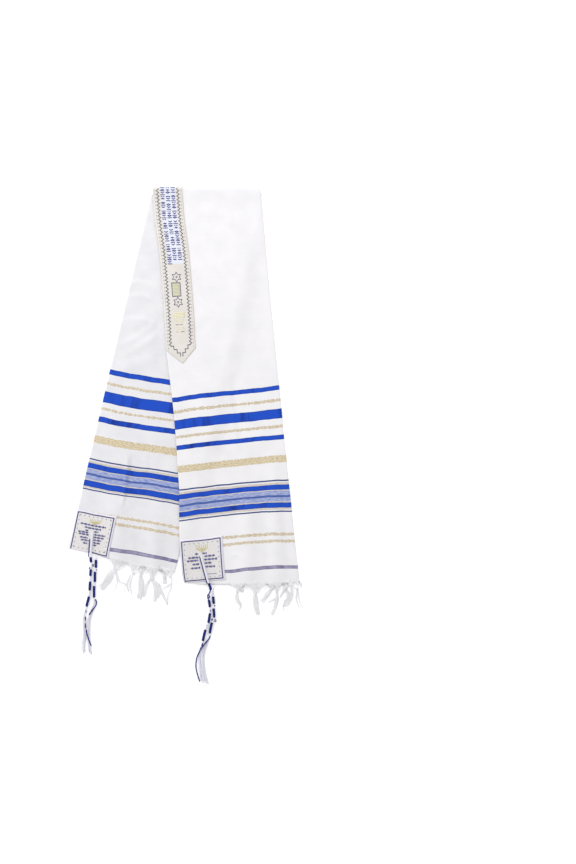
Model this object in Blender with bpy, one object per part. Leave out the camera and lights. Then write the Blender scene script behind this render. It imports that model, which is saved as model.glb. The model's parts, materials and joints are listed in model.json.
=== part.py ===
"""A woven prayer shawl (tallit), folded lengthwise, then across its middle, lying flat.

Metres, +Z up. The shawl lies on the plane z = 0 with its cross fold at +Y, its fringed
hems at -Y and its lengthwise fold on the +X side. The origin is under the middle of its
outline. The rear half lies under the front half and fans out to -X.

Every panel point is found from two numbers in millimetres: "along", from the cross fold
down to the hem, and "across", from the left selvage. The tables below are in millimetres.
"""

import math
from collections import namedtuple

import bmesh
import bpy
from mathutils import Vector

MM = 0.001

# The cloth: wall, the play between two layers, and the gap left at a seam.
WALL = 1.1
LAYER_GAP = 0.4
SEAM_GAP = 0.3
SHEET = 2 * WALL + LAYER_GAP

# Soft rolled folds: how much fuller than two layers each fold is, and how far that reaches.
FRONT_FOLD_FULLNESS = 1.2
REAR_FOLD_FULLNESS = 0.9
FOLD_REACH = 16.0
CROSS_FOLD_FULLNESS = 2.5
CROSS_FOLD_REACH = 30.0
FOLD_LIP = 8.0
CROSS_FOLD_LIP = 10.0
CROSS_FOLD_START = 4.6
HALF_TURN_STEPS = 6

# The front half is lifted by the rear half and comes down to the floor beside it.
REAR_STACK = SHEET + REAR_FOLD_FULLNESS + LAYER_GAP
EASE_TO_FLOOR = 42.0

# Where soft folds die out: short of the front's lengthwise fold, and on the rear half
# short of the front's selvage, each with the distance that this takes.
CALM_BY_FOLD = 8.0
CALM_BY_FOLD_EASE = 24.0
CALM_BY_FRONT = 6.0
CALM_BY_FRONT_EASE = 22.0
RIDGE_RUN_OUT = 0.15
RIDGE_EASE = 0.4

# Sewn-on pieces.
BAND_WIDTH = 62.0
BAND_SHOULDER = 327.5
BAND_TIP = 356.0
BAND_TURN_DEG = 120
TRIM_WALL = 1.0
FRONT_PATCH = dict(top=726.5, foot=826.0, width=89.5)
REAR_PATCH = dict(top=708.5, foot=797.0, width=84.5)

# Hidden layers: how far they stay back from the visible edges.
UNDER_INSET = 2.0
FOLD_INSET = 10.5
REAR_START = 16.5
UNDER_PEEK = 8.0
PEEK_WIDTH = 99.0
HEM_TUCK = 0.2

# The inner loop of the cross fold: its section is a step, from "near" to "far" along the
# cloth, between these heights.
LOOP_NEAR, LOOP_STEP, LOOP_FAR = 5.0, 18.0, 31.0
LOOP_LOW, LOOP_STEP_LOW, LOOP_TOP = 1.7, 0.5, REAR_STACK + 0.6
LOOP_CHAMFER = 0.9
LOOP_INSETS = 4.0, 3.0

# Grid of the walls: pitch of the rows, and of the columns under the sewn-on pieces, and
# the count of columns from there to the lengthwise fold.
ROW_PITCH = 23.0
COLUMN_PITCH = 21.5
FREE_COLUMNS = 7

Section = namedtuple("Section", "along left_x left_y right_x right_y sag")

FRONT = [
    Section(0, -71.0, 518.7, 153.7, 518.7, 0),
    Section(66, -65.7, 449.9, 159.5, 453.6, 0),
    Section(131, -56.7, 382.2, 165.3, 389.5, 0),
    Section(213, -49.4, 296.8, 172.5, 308.7, 0),
    Section(277, -45.0, 230.4, 178.7, 247.3, 0),
    Section(320, -42.8, 185.8, 182.9, 206.0, 0),
    Section(426, -29.4, 75.0, 193.1, 102.1, 1),
    Section(474, -24.4, 23.5, 198.7, 49.4, 1),
    Section(527, -20.6, -24.2, 202.9, -0.6, 1),
    Section(569, -17.5, -68.7, 208.1, -45.6, 1),
    Section(617, -13.7, -110.4, 212.5, -90.6, 1),
    Section(674, -14.4, -162.5, 218.3, -142.3, 0),
    Section(730, -14.4, -218.7, 224.3, -202.9, -2),
    Section(803, -9.0, -286.4, 232.3, -272.9, -1),
    Section(826, -6.0, -304.1, 234.8, -294.7, 1),
    Section(834, -5.2, -309.3, 236.0, -304.1, 4),
]

REAR = [
    Section(0, -70.0, 518.7, 160.4, 518.7, 0),
    Section(204, -114.8, 326.2, 112.9, 311.2, 0),
    Section(408, -159.6, 134.8, 65.2, 103.7, 0),
    Section(456, -170.2, 89.2, 54.8, 58.5, 0),
    Section(509, -182.3, 37.3, 42.3, 3.5, 0),
    Section(551, -191.4, -2.1, 33.1, -36.0, 0),
    Section(599, -202.1, -47.3, 22.3, -83.1, 1),
    Section(664, -216.8, -110.6, 7.3, -148.3, 1),
    Section(785, -244.3, -228.3, -19.0, -262.0, 1),
    Section(797, -246.8, -238.5, -24.4, -283.3, 3),
]

# Soft folds of the cloth, each from one plan point to another, with a Gaussian profile.
Ridge = namedtuple("Ridge", "panel from_x from_y to_x to_y bow height reach")

RIDGES = [
    Ridge("rear", -122, 236, -52, 244, -6, 1.2, 15),
    Ridge("rear", -134, 186, -62, 208, -8, 1.4, 15),
    Ridge("rear", -148, 140, -60, 172, -6, 1.6, 16),
    Ridge("rear", -166, 62, -120, -70, 3, 3.2, 19),
    Ridge("rear", -150, -120, -146, -292, 4, 4.4, 20),
    Ridge("rear", -66, -150, -70, -320, 3, 4.0, 18),
    Ridge("front", 20, 120, 60, -30, 4, 2.4, 22),
    Ridge("front", 128, -110, 122, -330, 4, 4.6, 22),
    Ridge("front", 186, -60, 192, -330, -3, 4.0, 20),
    Ridge("front", 90, 330, 116, 180, 4, 2.0, 28),
]

# Locks of the fringe: warp threads drawn together from the hem into a knot, then a free
# tail or two. "knot_drop" is straight down from the hem, tail tips are plan points.
Lock = namedtuple("Lock", "hem root gather knot_x knot_drop tail size tip_x tip_y bow")

LOCKS = [
    Lock("front_upper", 109, 22, 107, 9, "first", 3.2, 108, -366, 4),
    Lock("front_upper", 136, 26, 141, 13, "first", 5.6, 151, -373, -4),
    Lock("front_upper", 186, 20, 186, 13, "first", 4.4, 176, -375, 3),
    Lock("front_upper", 227, 17, 229, 11, "first", 2.6, 234, -364, -3),
    Lock("front_upper", 227, 17, 229, 11, "second", 2.2, 244, -361, -5),
    Lock("front_lower", 122, 12, 121, 10, "first", 3.0, 121, -342, 2),
    Lock("front_lower", 162, 20, 165, 14, "first", 5.4, 156, -350, 2),
    Lock("front_lower", 204, 22, 205, 14, "first", 4.6, 199, -362, -3),
    Lock("front_lower", 204, 22, 205, 14, "second", 3.6, 213, -348, 3),
    Lock("rear_upper", -145, 22, -148, 11, "first", 6.0, -176, -323, 6),
    Lock("rear_upper", -145, 22, -148, 11, "second", 2.4, -150, -325, -6),
    Lock("rear_upper", -113, 18, -113, 15, "first", 2.4, -120, -325, 5),
    Lock("rear_upper", -113, 18, -113, 15, "second", 2.4, -110, -341, -5),
    Lock("rear_upper", -78, 18, -77, 16, "first", 4.6, -87, -338, 3),
    Lock("rear_upper", -56, 18, -57, 16, "first", 4.0, -59, -341, -4),
    Lock("rear_upper", -33, 15, -35, 14, "first", 4.4, -37, -354, 5),
    Lock("rear_lower", -128, 14, -130, 12, "first", 2.6, -133, -318, -4),
    Lock("rear_lower", -97, 16, -98, 15, "first", 3.2, -98, -343, -3),
    Lock("rear_lower", -67, 14, -68, 12, "first", 4.0, -70, -347, -3),
    Lock("rear_lower", -45, 14, -46, 14, "first", 5.0, -46, -328, 2),
]

HEM_STRIP = 2.4
HEM_STRIP_PITCH = 12.0
LOCK_KNOT = 2.5
LOCK_CLEARANCE = 0.4
UPPER_KNOT_RISE = 0.3
# A strip rests a touch lower than the soft fold that its hem runs over.
STRIP_REST = 0.98

# Rings of a lock: (width, height) of its root and neck, then for the knot (distance past
# its centre, width as a share of the knot), then for the tail (share of its run, width as
# a share of the lock's size, height).
LOCK_ROOT_HEIGHT = 0.7
LOCK_NECK = 3.0, 1.2
KNOT_RINGS = ((0.9, 1.5), (-0.9, 1.5), (-1.8, 0.8))
TAIL_RINGS = ((0.3, 0.7, 1.3), (0.6, 1.0, 1.5), (0.85, 0.8, 1.2), (1.0, 0.25, 0.5))
SECOND_TAIL_KNOT = 0.4

# Corner tassels: the doubled cord from the eyelet, the wound and knotted stem, and the
# place where each of them ends. Plan points, then the height of the centre line.
TasselPoint = namedtuple("TasselPoint", "tassel x y z")

TASSEL_ROUTE = [
    TasselPoint("rear_upper", -196.2, -198.9, 6.4),
    TasselPoint("rear_upper", -199.6, -222.0, 6.4),
    TasselPoint("rear_upper", -200.9, -240.0, 6.4),
    TasselPoint("rear_upper", -200.6, -251.0, 6.3),
    TasselPoint("rear_upper", -199.8, -261.0, 4.6),
    TasselPoint("rear_upper", -199.2, -273.0, 3.7),
    TasselPoint("rear_upper", -200.6, -302.5, 3.6),
    TasselPoint("rear_upper", -203.8, -331.0, 3.6),
    TasselPoint("rear_upper", -209.3, -363.0, 3.6),
    TasselPoint("rear_lower", -184.4, -252.9, 3.9),
    TasselPoint("rear_lower", -187.5, -280.0, 3.6),
    TasselPoint("rear_lower", -189.2, -305.0, 3.6),
    TasselPoint("rear_lower", -190.2, -325.0, 3.6),
    TasselPoint("rear_lower", -190.6, -343.0, 3.6),
    TasselPoint("front_upper", 30.4, -249.5, 6.5),
    TasselPoint("front_upper", 36.6, -278.0, 6.5),
    TasselPoint("front_upper", 42.6, -306.0, 6.5),
    TasselPoint("front_upper", 45.2, -316.0, 6.2),
    TasselPoint("front_upper", 46.6, -328.0, 4.4),
    TasselPoint("front_upper", 47.0, -342.0, 3.7),
    TasselPoint("front_upper", 47.2, -368.0, 3.6),
    TasselPoint("front_upper", 43.0, -392.0, 3.6),
    TasselPoint("front_upper", 37.4, -412.0, 3.6),
    TasselPoint("front_upper", 33.2, -431.0, 3.6),
    TasselPoint("front_lower", 57.6, -316.4, 4.0),
    TasselPoint("front_lower", 56.8, -345.0, 3.6),
    TasselPoint("front_lower", 57.6, -376.0, 3.6),
    TasselPoint("front_lower", 53.0, -398.0, 3.6),
    TasselPoint("front_lower", 47.4, -419.0, 3.6),
]

# Where the eight free threads of each tassel run after its last knot.
THREAD_ROUTE = [
    TasselPoint("rear_upper", -211.2, -385.0, 2.2),
    TasselPoint("rear_upper", -212.4, -420.0, 2.2),
    TasselPoint("rear_upper", -210.6, -452.0, 2.2),
    TasselPoint("rear_lower", -194.2, -365.0, 2.2),
    TasselPoint("rear_lower", -198.6, -400.0, 2.2),
    TasselPoint("rear_lower", -196.6, -446.0, 2.2),
    TasselPoint("front_upper", 28.6, -455.0, 2.2),
    TasselPoint("front_upper", 26.4, -482.0, 2.2),
    TasselPoint("front_upper", 28.4, -505.0, 2.2),
    TasselPoint("front_lower", 41.4, -445.0, 2.2),
    TasselPoint("front_lower", 38.6, -478.0, 2.2),
    TasselPoint("front_lower", 43.0, -517.0, 2.2),
]

# Stretches of a tassel's stem, from its eyelet down, with the half width of each.
Stretch = namedtuple("Stretch", "kind length half_width")

REAR_CORD = Stretch("cord", 54, 1.9)
FRONT_CORD = Stretch("cord", 62, 1.9)
WINDINGS = [
    Stretch("winding", 12, 2.5),
    Stretch("knot", 13, 3.2),
    Stretch("winding", 14, 2.5),
    Stretch("knot", 12, 3.2),
    Stretch("winding", 19, 2.5),
    Stretch("knot", 13, 3.2),
    Stretch("winding", 22, 2.5),
    Stretch("knot", 8, 3.1),
]
TASSELS = {
    "rear_upper": [REAR_CORD] + WINDINGS,
    "front_upper": [FRONT_CORD] + WINDINGS,
    "rear_lower": WINDINGS[2:],
    "front_lower": WINDINGS[2:],
}

# A knot's waist: how far its end rings stay inside it, and how thin they are.
WAIST_INSET = 1.2
WAIST_SHARE = 0.86
STEM_SIDES = 8

# The free threads lie in two layers of four.
THREAD_SIDES = 4
THREAD_STATIONS = 9
THREAD_HALF = 0.62
THREAD_PITCH = 1.62
THREAD_SPREAD = 0.45
THREAD_LAYER_HALF_GAP = 0.95
THREAD_LAYER_CLOSING = 0.15
THREAD_SINK = 0.3
THREAD_TUCK = 2.2
THREAD_TRIM = (1.0, 0.94, 0.98, 0.90, 0.95, 1.0, 0.92, 0.97)

COLOURS = {
    "ivory_weave": (0.86, 0.85, 0.87, 0.7),
    "neckband": (0.80, 0.76, 0.70, 0.6),
    "patch": (0.72, 0.68, 0.70, 0.6),
    "fringe": (0.88, 0.88, 0.90, 0.8),
    "tassel": (0.05, 0.08, 0.45, 0.6),
}


# Curves through the tables.


def hermite(rows, column, along):
    """Smooth value of one column of a section table at a distance along the cloth."""
    last = len(rows) - 1
    i = 0
    while i < last - 1 and along > rows[i + 1].along:
        i += 1

    def slope(k):
        low, high = rows[max(k - 1, 0)], rows[min(k + 1, last)]
        return (getattr(high, column) - getattr(low, column)) / (high.along - low.along)

    start, end = rows[i], rows[i + 1]
    span = end.along - start.along
    u = (along - start.along) / span
    return (
        getattr(start, column) * (2 * u**3 - 3 * u**2 + 1)
        + getattr(end, column) * (3 * u**2 - 2 * u**3)
        + slope(i) * span * (u**3 - 2 * u**2 + u)
        + slope(i + 1) * span * (u**3 - u**2)
    )


def through(points, steps):
    """Points on a Catmull-Rom curve through the given ones, ends included."""
    found = []
    for i in range(len(points) - 1):
        before = points[max(i - 1, 0)]
        start, end = points[i], points[i + 1]
        after = points[min(i + 2, len(points) - 1)]
        for k in range(steps):
            u = k / steps
            found.append(
                0.5
                * (
                    2 * start
                    + (end - before) * u
                    + (2 * before - 5 * start + 4 * end - after) * u**2
                    + (3 * start - before - 3 * end + after) * u**3
                )
            )
    found.append(points[-1])
    return found


def smooth(value):
    value = min(max(value, 0.0), 1.0)
    return value * value * (3 - 2 * value)


def bell(value):
    return math.exp(-value * value)


def even_steps(start, end, pitch):
    """Evenly spaced values from start to end, both included, about one pitch apart."""
    count = max(1, round((end - start) / pitch))
    return [start + (end - start) * i / count for i in range(count + 1)]


def steps_through(stops, pitch):
    values = [stops[0]]
    for start, end in zip(stops, stops[1:]):
        values += even_steps(start, end, pitch)[1:]
    return values


# The lie of the two panels.


def width_at(sections, along):
    """Width of a panel in millimetres, from its left selvage to its lengthwise fold."""
    dx = hermite(sections, "right_x", along) - hermite(sections, "left_x", along)
    dy = hermite(sections, "right_y", along) - hermite(sections, "left_y", along)
    return math.hypot(dx, dy)


def plan_point(sections, along, across):
    """Plan position of a point of a panel. The hem's sag bows a section towards the hem."""
    left = Vector(
        (hermite(sections, "left_x", along), hermite(sections, "left_y", along))
    )
    right = Vector(
        (hermite(sections, "right_x", along), hermite(sections, "right_y", along))
    )
    run = right - left
    share = across / run.length
    down = Vector((run.y, -run.x)).normalized()
    return left + run * share + down * hermite(sections, "sag", along) * 4 * share * (
        1 - share
    )


def beyond_rear_fold(point):
    """How far a plan point lies to the right of the rear half's lengthwise fold."""
    top = Vector((REAR[0].right_x, REAR[0].right_y))
    foot = Vector((REAR[-1].right_x, REAR[-1].right_y))
    run = (foot - top).normalized()
    return (point - top).dot(Vector((-run.y, run.x)))


def lift(point):
    """Height of the top of the rear half under a plan point, eased down to the floor."""
    return REAR_STACK * (1 - smooth(beyond_rear_fold(point) / EASE_TO_FLOOR))


def ridge_height(panel, point):
    """Added height of the soft folds of one panel at a plan point."""
    total = 0.0
    for ridge in RIDGES:
        if ridge.panel != panel:
            continue
        start = Vector((ridge.from_x, ridge.from_y))
        run = Vector((ridge.to_x, ridge.to_y)) - start
        share = (point - start).dot(run) / run.length_squared
        side = Vector((-run.y, run.x)).normalized()
        bow = ridge.bow * 4 * share * (1 - share) if 0 < share < 1 else 0
        off = (point - start).dot(side) - bow
        ends = smooth((share + RIDGE_RUN_OUT) / RIDGE_EASE)
        ends *= smooth((1 + RIDGE_RUN_OUT - share) / RIDGE_EASE)
        total += ridge.height * ends * bell(off / ridge.reach)
    return total


def clear_of_front(point):
    """1 where the rear half shows, easing to 0 under the front half's left selvage."""
    along = min(max(FRONT[0].left_y - point.y, 0.0), FRONT[-1].along)
    edge = hermite(FRONT, "left_x", along)
    return smooth((edge - CALM_BY_FRONT - point.x) / CALM_BY_FRONT_EASE)


def front_top(along, across):
    """Height of the front wall's outer surface."""
    point = plan_point(FRONT, along, across)
    from_fold = width_at(FRONT, along) - across
    calm = smooth((from_fold - CALM_BY_FOLD) / CALM_BY_FOLD_EASE)
    return (
        lift(point)
        + SHEET
        + FRONT_FOLD_FULLNESS * bell(from_fold / FOLD_REACH)
        + CROSS_FOLD_FULLNESS * bell(along / CROSS_FOLD_REACH)
        + ridge_height("front", point) * calm
    )


def rear_top(along, across):
    """Height of the rear wall's outer surface, kept low under the front half."""
    point = plan_point(REAR, along, across)
    from_fold = width_at(REAR, along) - across
    return (
        SHEET
        + REAR_FOLD_FULLNESS * bell(from_fold / FOLD_REACH)
        + ridge_height("rear", point) * clear_of_front(point)
    )


def spread_columns(fixed, reach):
    """The fixed columns, then the free ones, evenly spaced up to a reach across."""
    step = (reach - fixed[-1]) / FREE_COLUMNS
    return fixed + [fixed[-1] + step * (i + 1) for i in range(FREE_COLUMNS)]


def fold_section(sections, top, along, fixed_columns):
    """One section of a wall: its flat columns, then the turn round the lengthwise fold
    and the lip under it. Gives (plan point, height, depth below the top) for each."""
    width = width_at(sections, along)
    radius = (top(along, width) - base_height(sections, along, width)) / 2
    reach = width - radius
    section = [
        (plan_point(sections, along, across), top(along, across), 0.0)
        for across in spread_columns(fixed_columns, reach)
    ]
    crown = top(along, reach)
    for step in range(1, HALF_TURN_STEPS + 1):
        turn = math.pi * step / HALF_TURN_STEPS
        depth = radius * (1 - math.cos(turn))
        point = plan_point(sections, along, reach + radius * math.sin(turn))
        section.append((point, crown - depth, depth))
    lip = plan_point(sections, along, reach - FOLD_LIP)
    section.append((lip, crown - 2 * radius, 2 * radius))
    return section


def base_height(sections, along, across):
    """Height that the underside of a panel's lengthwise fold rests at."""
    if sections is REAR:
        return 0.0
    return (
        lift(plan_point(FRONT, along, across))
        + CROSS_FOLD_FULLNESS * bell(along / CROSS_FOLD_REACH)
    )


# Meshes.


def vector3(point, height):
    return Vector((point.x, point.y, height))


def grid_object(name, rows, material, wall=None):
    """A sheet through rows of points. With a wall it becomes a closed solid, the points
    being its outer surface."""
    mesh = bmesh.new()
    grid = [[mesh.verts.new(point * MM) for point in row] for row in rows]
    for upper, lower in zip(grid, grid[1:]):
        for i in range(len(upper) - 1):
            mesh.faces.new((upper[i], lower[i], lower[i + 1], upper[i + 1]))
    return sheet_object(name, mesh, material, wall)


def sheet_object(name, mesh, material, wall=None):
    data = bpy.data.meshes.new(name)
    mesh.to_mesh(data)
    mesh.free()
    piece = bpy.data.objects.new(name, data)
    bpy.context.collection.objects.link(piece)
    data.shade_smooth()
    data.materials.append(material)
    if wall:
        solidify = piece.modifiers.new("cloth wall", "SOLIDIFY")
        solidify.thickness = wall * MM
        solidify.offset = -1
        solidify.use_rim = True
        solidify.use_even_offset = True
    return piece


def rings_mesh(mesh, rings):
    """Adds a closed tube through rings of points, each ring with the same even count. Its
    ends are closed by quads from the first half of a ring to the second half."""
    made = [[mesh.verts.new(point * MM) for point in ring] for ring in rings]
    count = len(made[0])
    for near, far in zip(made, made[1:]):
        for i in range(count):
            j = (i + 1) % count
            mesh.faces.new((near[i], near[j], far[j], far[i]))
    for ring in (made[0][::-1], made[-1]):
        for i in range(count // 2 - 1):
            mesh.faces.new((ring[i], ring[i + 1], ring[-i - 2], ring[-i - 1]))


def solid_object(name, mesh, material):
    bmesh.ops.recalc_face_normals(mesh, faces=mesh.faces)
    return sheet_object(name, mesh, material)


def fuse(target, helper):
    """Joins a helper's bodies to the target, and leaves the helper as a guide."""
    helper.hide_render = True
    helper.display_type = "WIRE"
    union = target.modifiers.new(f"with {helper.name}", "BOOLEAN")
    union.operation = "UNION"
    union.solver = "EXACT"
    union.object = helper


def make_materials():
    made = {}
    for name, (red, green, blue, roughness) in COLOURS.items():
        material = bpy.data.materials.new(name)
        material.use_nodes = True
        shader = material.node_tree.nodes["Principled BSDF"]
        shader.inputs["Base Color"].default_value = (red, green, blue, 1)
        shader.inputs["Roughness"].default_value = roughness
        shader.inputs["Metallic"].default_value = 0.0
        made[name] = material
    return made


# The pieces.

FRONT_COLUMNS = even_steps(0, BAND_WIDTH, BAND_WIDTH / 4) + [76, FRONT_PATCH["width"]]
REAR_COLUMNS = even_steps(0, REAR_PATCH["width"], COLUMN_PITCH)
FRONT_STOPS = [
    CROSS_FOLD_LIP,
    BAND_SHOULDER,
    (BAND_SHOULDER + BAND_TIP) / 2,
    BAND_TIP,
    FRONT_PATCH["top"],
    FRONT_PATCH["foot"],
    FRONT[-1].along,
]
REAR_STOPS = [LOOP_FAR + 3, REAR_PATCH["top"], REAR[-1].along]


def cross_fold_rows(section, outward=0.0, turn_limit=180):
    """Rows of a section carried round the cross fold, last row first: the underside lip,
    then the half turn. The lip is left out where the turn stops early."""
    rows = []
    centre_y = FRONT[0].left_y
    steps = [180 * step / HALF_TURN_STEPS for step in range(1, HALF_TURN_STEPS + 1)]
    for turn in [step for step in steps if step <= turn_limit]:
        row = []
        for point, height, depth in section:
            outer = (height + depth) / 2
            radius = outer - depth + outward
            angle = math.radians(turn)
            y = centre_y - outer + radius * math.sin(angle)
            row.append(Vector((point.x, y, outer + radius * math.cos(angle))))
        rows.append(row)
    if turn_limit == 180:
        rows.append([Vector((p.x, p.y - CROSS_FOLD_LIP, p.z)) for p in rows[-1]])
    return rows[::-1]


def front_sections():
    stops = steps_through(FRONT_STOPS, ROW_PITCH)
    return [
        (along, fold_section(FRONT, front_top, along, FRONT_COLUMNS))
        for along in stops
    ]


def top_section():
    """The front's section where the cross fold's half turn starts."""
    return fold_section(FRONT, front_top, CROSS_FOLD_START, FRONT_COLUMNS)


def build_front(materials):
    rows = cross_fold_rows(top_section())
    crown = []
    for point, height, depth in top_section():
        outer = (height + depth) / 2
        crown.append(Vector((point.x, FRONT[0].left_y - outer, height)))
    rows.append(crown)
    for _, section in front_sections():
        rows.append([vector3(point, height) for point, height, _ in section])
    return grid_object("shawl_front", rows, materials["ivory_weave"], WALL)


def build_rear(materials):
    rows = []
    for along in steps_through(REAR_STOPS, ROW_PITCH):
        section = fold_section(REAR, rear_top, along, REAR_COLUMNS)
        rows.append([vector3(point, height) for point, height, _ in section])
    return grid_object("shawl_rear", rows, materials["ivory_weave"], WALL)


def slab_rings(sections, along, columns, bottom):
    """The rectangular ring of one section of a hidden layer."""
    points = [plan_point(sections, along, across) for across in columns]
    low = [vector3(point, bottom(point)) for point in points]
    high = [vector3(point, bottom(point) + WALL) for point in points]
    return high + low[::-1]


def peek_below_hem(point):
    """How far the under layer shows below the front's hem, beside the corner patch."""
    share = (point.x - FRONT[-1].left_x) / PEEK_WIDTH
    show = max(share * (1 - share), 0.0)
    return HEM_TUCK + UNDER_PEEK * 16 * show * show


def build_hidden_layers(materials):
    """The under layers of both halves and the inner loop of the cross fold, as one solid
    that is layered at its edges."""
    cloth = materials["ivory_weave"]

    mesh = bmesh.new()
    rings = []
    for along in steps_through([REAR_START, REAR[-1].along - UNDER_INSET], 3 * ROW_PITCH):
        reach = width_at(REAR, along) - FOLD_INSET
        columns = even_steps(UNDER_INSET, reach, reach)
        rings.append(slab_rings(REAR, along, columns, lambda point: 0.0))
    rings_mesh(mesh, rings)
    hidden = solid_object("shawl_hidden_layers", mesh, cloth)

    mesh = bmesh.new()
    rings = []
    stops = steps_through([LOOP_NEAR] + FRONT_STOPS[1:], ROW_PITCH)
    for along in stops:
        reach = width_at(FRONT, along) - FOLD_INSET
        columns = [UNDER_INSET] + spread_columns(FRONT_COLUMNS, reach)[1:]
        rings.append(slab_rings(FRONT, along, columns, lift))
    rings.append([point - Vector((0, peek_below_hem(point), 0)) for point in rings[-1]])
    rings_mesh(mesh, rings)
    fuse(hidden, solid_object("under_front", mesh, cloth))

    profile = [
        (LOOP_NEAR + 1, LOOP_TOP - LOOP_CHAMFER),
        (LOOP_NEAR + 1, LOOP_LOW + LOOP_CHAMFER),
        (LOOP_NEAR + 2, LOOP_LOW),
        (LOOP_STEP, LOOP_LOW),
        (LOOP_STEP, LOOP_STEP_LOW),
        (LOOP_FAR, LOOP_STEP_LOW),
        (LOOP_FAR, LOOP_TOP),
        (LOOP_NEAR + 2, LOOP_TOP),
    ]
    mesh = bmesh.new()
    rings = []
    near_inset, far_inset = LOOP_INSETS
    loop_end = width_at(FRONT, LOOP_FAR) - FOLD_INSET - far_inset
    for across in (UNDER_INSET + near_inset, loop_end):
        ring = []
        for along, height in profile:
            ring.append(vector3(plan_point(FRONT, along, across), height))
        rings.append(ring)
    rings_mesh(mesh, rings)
    fuse(hidden, solid_object("inner_loop", mesh, cloth))
    return hidden


def outward_grid(sections, top, alongs, columns, offset):
    """Panel points moved out by an offset, straight up."""
    rows = []
    for along in alongs:
        rows.append(
            [
                vector3(plan_point(sections, along, across), top(along, across) + offset)
                for across in columns
            ]
        )
    return rows


def build_neckband(materials):
    """The band along the front's selvage, from its point over the cross fold."""
    columns = FRONT_COLUMNS[: FRONT_COLUMNS.index(BAND_WIDTH) + 1]
    offset = SEAM_GAP + TRIM_WALL
    alongs = [a for a in steps_through(FRONT_STOPS, ROW_PITCH) if a <= BAND_TIP]
    section = top_section()[: len(columns)]
    rows = cross_fold_rows(section, offset, BAND_TURN_DEG)
    crown = []
    for point, height, _ in section:
        crown.append(Vector((point.x, FRONT[0].left_y - height / 2, height + offset)))
    rows.append(crown)
    rows += outward_grid(FRONT, front_top, alongs, columns, offset)

    mesh = bmesh.new()
    grid = [[mesh.verts.new(point * MM) for point in row] for row in rows]
    for upper, lower in zip(grid[:-3], grid[1:-2]):
        for i in range(len(upper) - 1):
            mesh.faces.new((upper[i], lower[i], lower[i + 1], upper[i + 1]))
    shoulder, middle, tip = grid[-3:]
    mesh.faces.new((shoulder[0], middle[1], shoulder[1]))
    mesh.faces.new((shoulder[1], middle[1], middle[2], shoulder[2]))
    mesh.faces.new((shoulder[2], middle[2], middle[3], shoulder[3]))
    mesh.faces.new((shoulder[3], middle[3], shoulder[4]))
    mesh.faces.new((middle[1], tip[2], middle[2]))
    mesh.faces.new((middle[2], tip[2], middle[3]))
    loose = [vert for vert in mesh.verts if not vert.link_faces]
    bmesh.ops.delete(mesh, geom=loose, context="VERTS")
    return sheet_object("neckband", mesh, materials["neckband"], TRIM_WALL)


def build_patch(name, sections, top, stops, columns, patch, materials):
    alongs = [
        along
        for along in steps_through(stops, ROW_PITCH)
        if patch["top"] - 1e-6 <= along <= patch["foot"] + 1e-6
    ]
    columns = [across for across in columns if across <= patch["width"] + 1e-6]
    rows = outward_grid(sections, top, alongs, columns, SEAM_GAP + TRIM_WALL)
    return grid_object(name, rows, materials["patch"], TRIM_WALL)


# Fringe.


def hem_point(sections, x):
    """The hem of a panel at an x, found by halving."""
    foot = sections[-1].along
    low, high = 0.0, width_at(sections, foot)
    for _ in range(30):
        middle = (low + high) / 2
        if plan_point(sections, foot, middle).x < x:
            low = middle
        else:
            high = middle
    return plan_point(sections, foot, low)


def flat_ring(centre, heading, width, height):
    """A rectangle across a plan heading, its corners going round."""
    side = Vector((-heading.y, heading.x, 0)) * width / 2
    up = Vector((0, 0, height / 2))
    return [centre + side + up, centre - side + up, centre - side - up, centre + side - up]


def lock_rings(lock, hem_y, centre_z):
    """Rings of one lock: gathered threads, knot, and a tail that tapers to its tip."""
    knot = Vector((lock.knot_x, hem_y - HEM_STRIP - lock.knot_drop, 0))
    tip = Vector((lock.tip_x, lock.tip_y, 0))
    run = tip - knot
    bend = Vector((-run.y, run.x, 0)).normalized() * lock.bow
    down = Vector((0, -1, 0))
    rings = []
    if lock.tail == "first":
        root = Vector((lock.root, hem_y - HEM_STRIP / 2, centre_z))
        rings.append(flat_ring(root, down, lock.gather, LOCK_ROOT_HEIGHT))
        neck = Vector((lock.knot_x, knot.y + LOCK_KNOT + 1, centre_z + 0.1))
        rings.append(flat_ring(neck, down, *LOCK_NECK))
    heading = (run.normalized() + down).normalized()
    size = LOCK_KNOT if lock.tail == "first" else SECOND_TAIL_KNOT * LOCK_KNOT
    knot_z = LOCK_CLEARANCE + LOCK_KNOT / 2 + (UPPER_KNOT_RISE if centre_z > WALL else 0)
    for offset, width in KNOT_RINGS:
        centre = knot + Vector((0, offset, knot_z))
        rings.append(flat_ring(centre, heading, size * width, size))
    for share, width, height in TAIL_RINGS:
        centre = knot + run * share + bend * 4 * share * (1 - share)
        centre.z = LOCK_CLEARANCE + height / 2
        ahead = (run + bend * 4 * (1 - 2 * share)).normalized()
        rings.append(flat_ring(centre, ahead, lock.size * width, height))
    return rings


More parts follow.
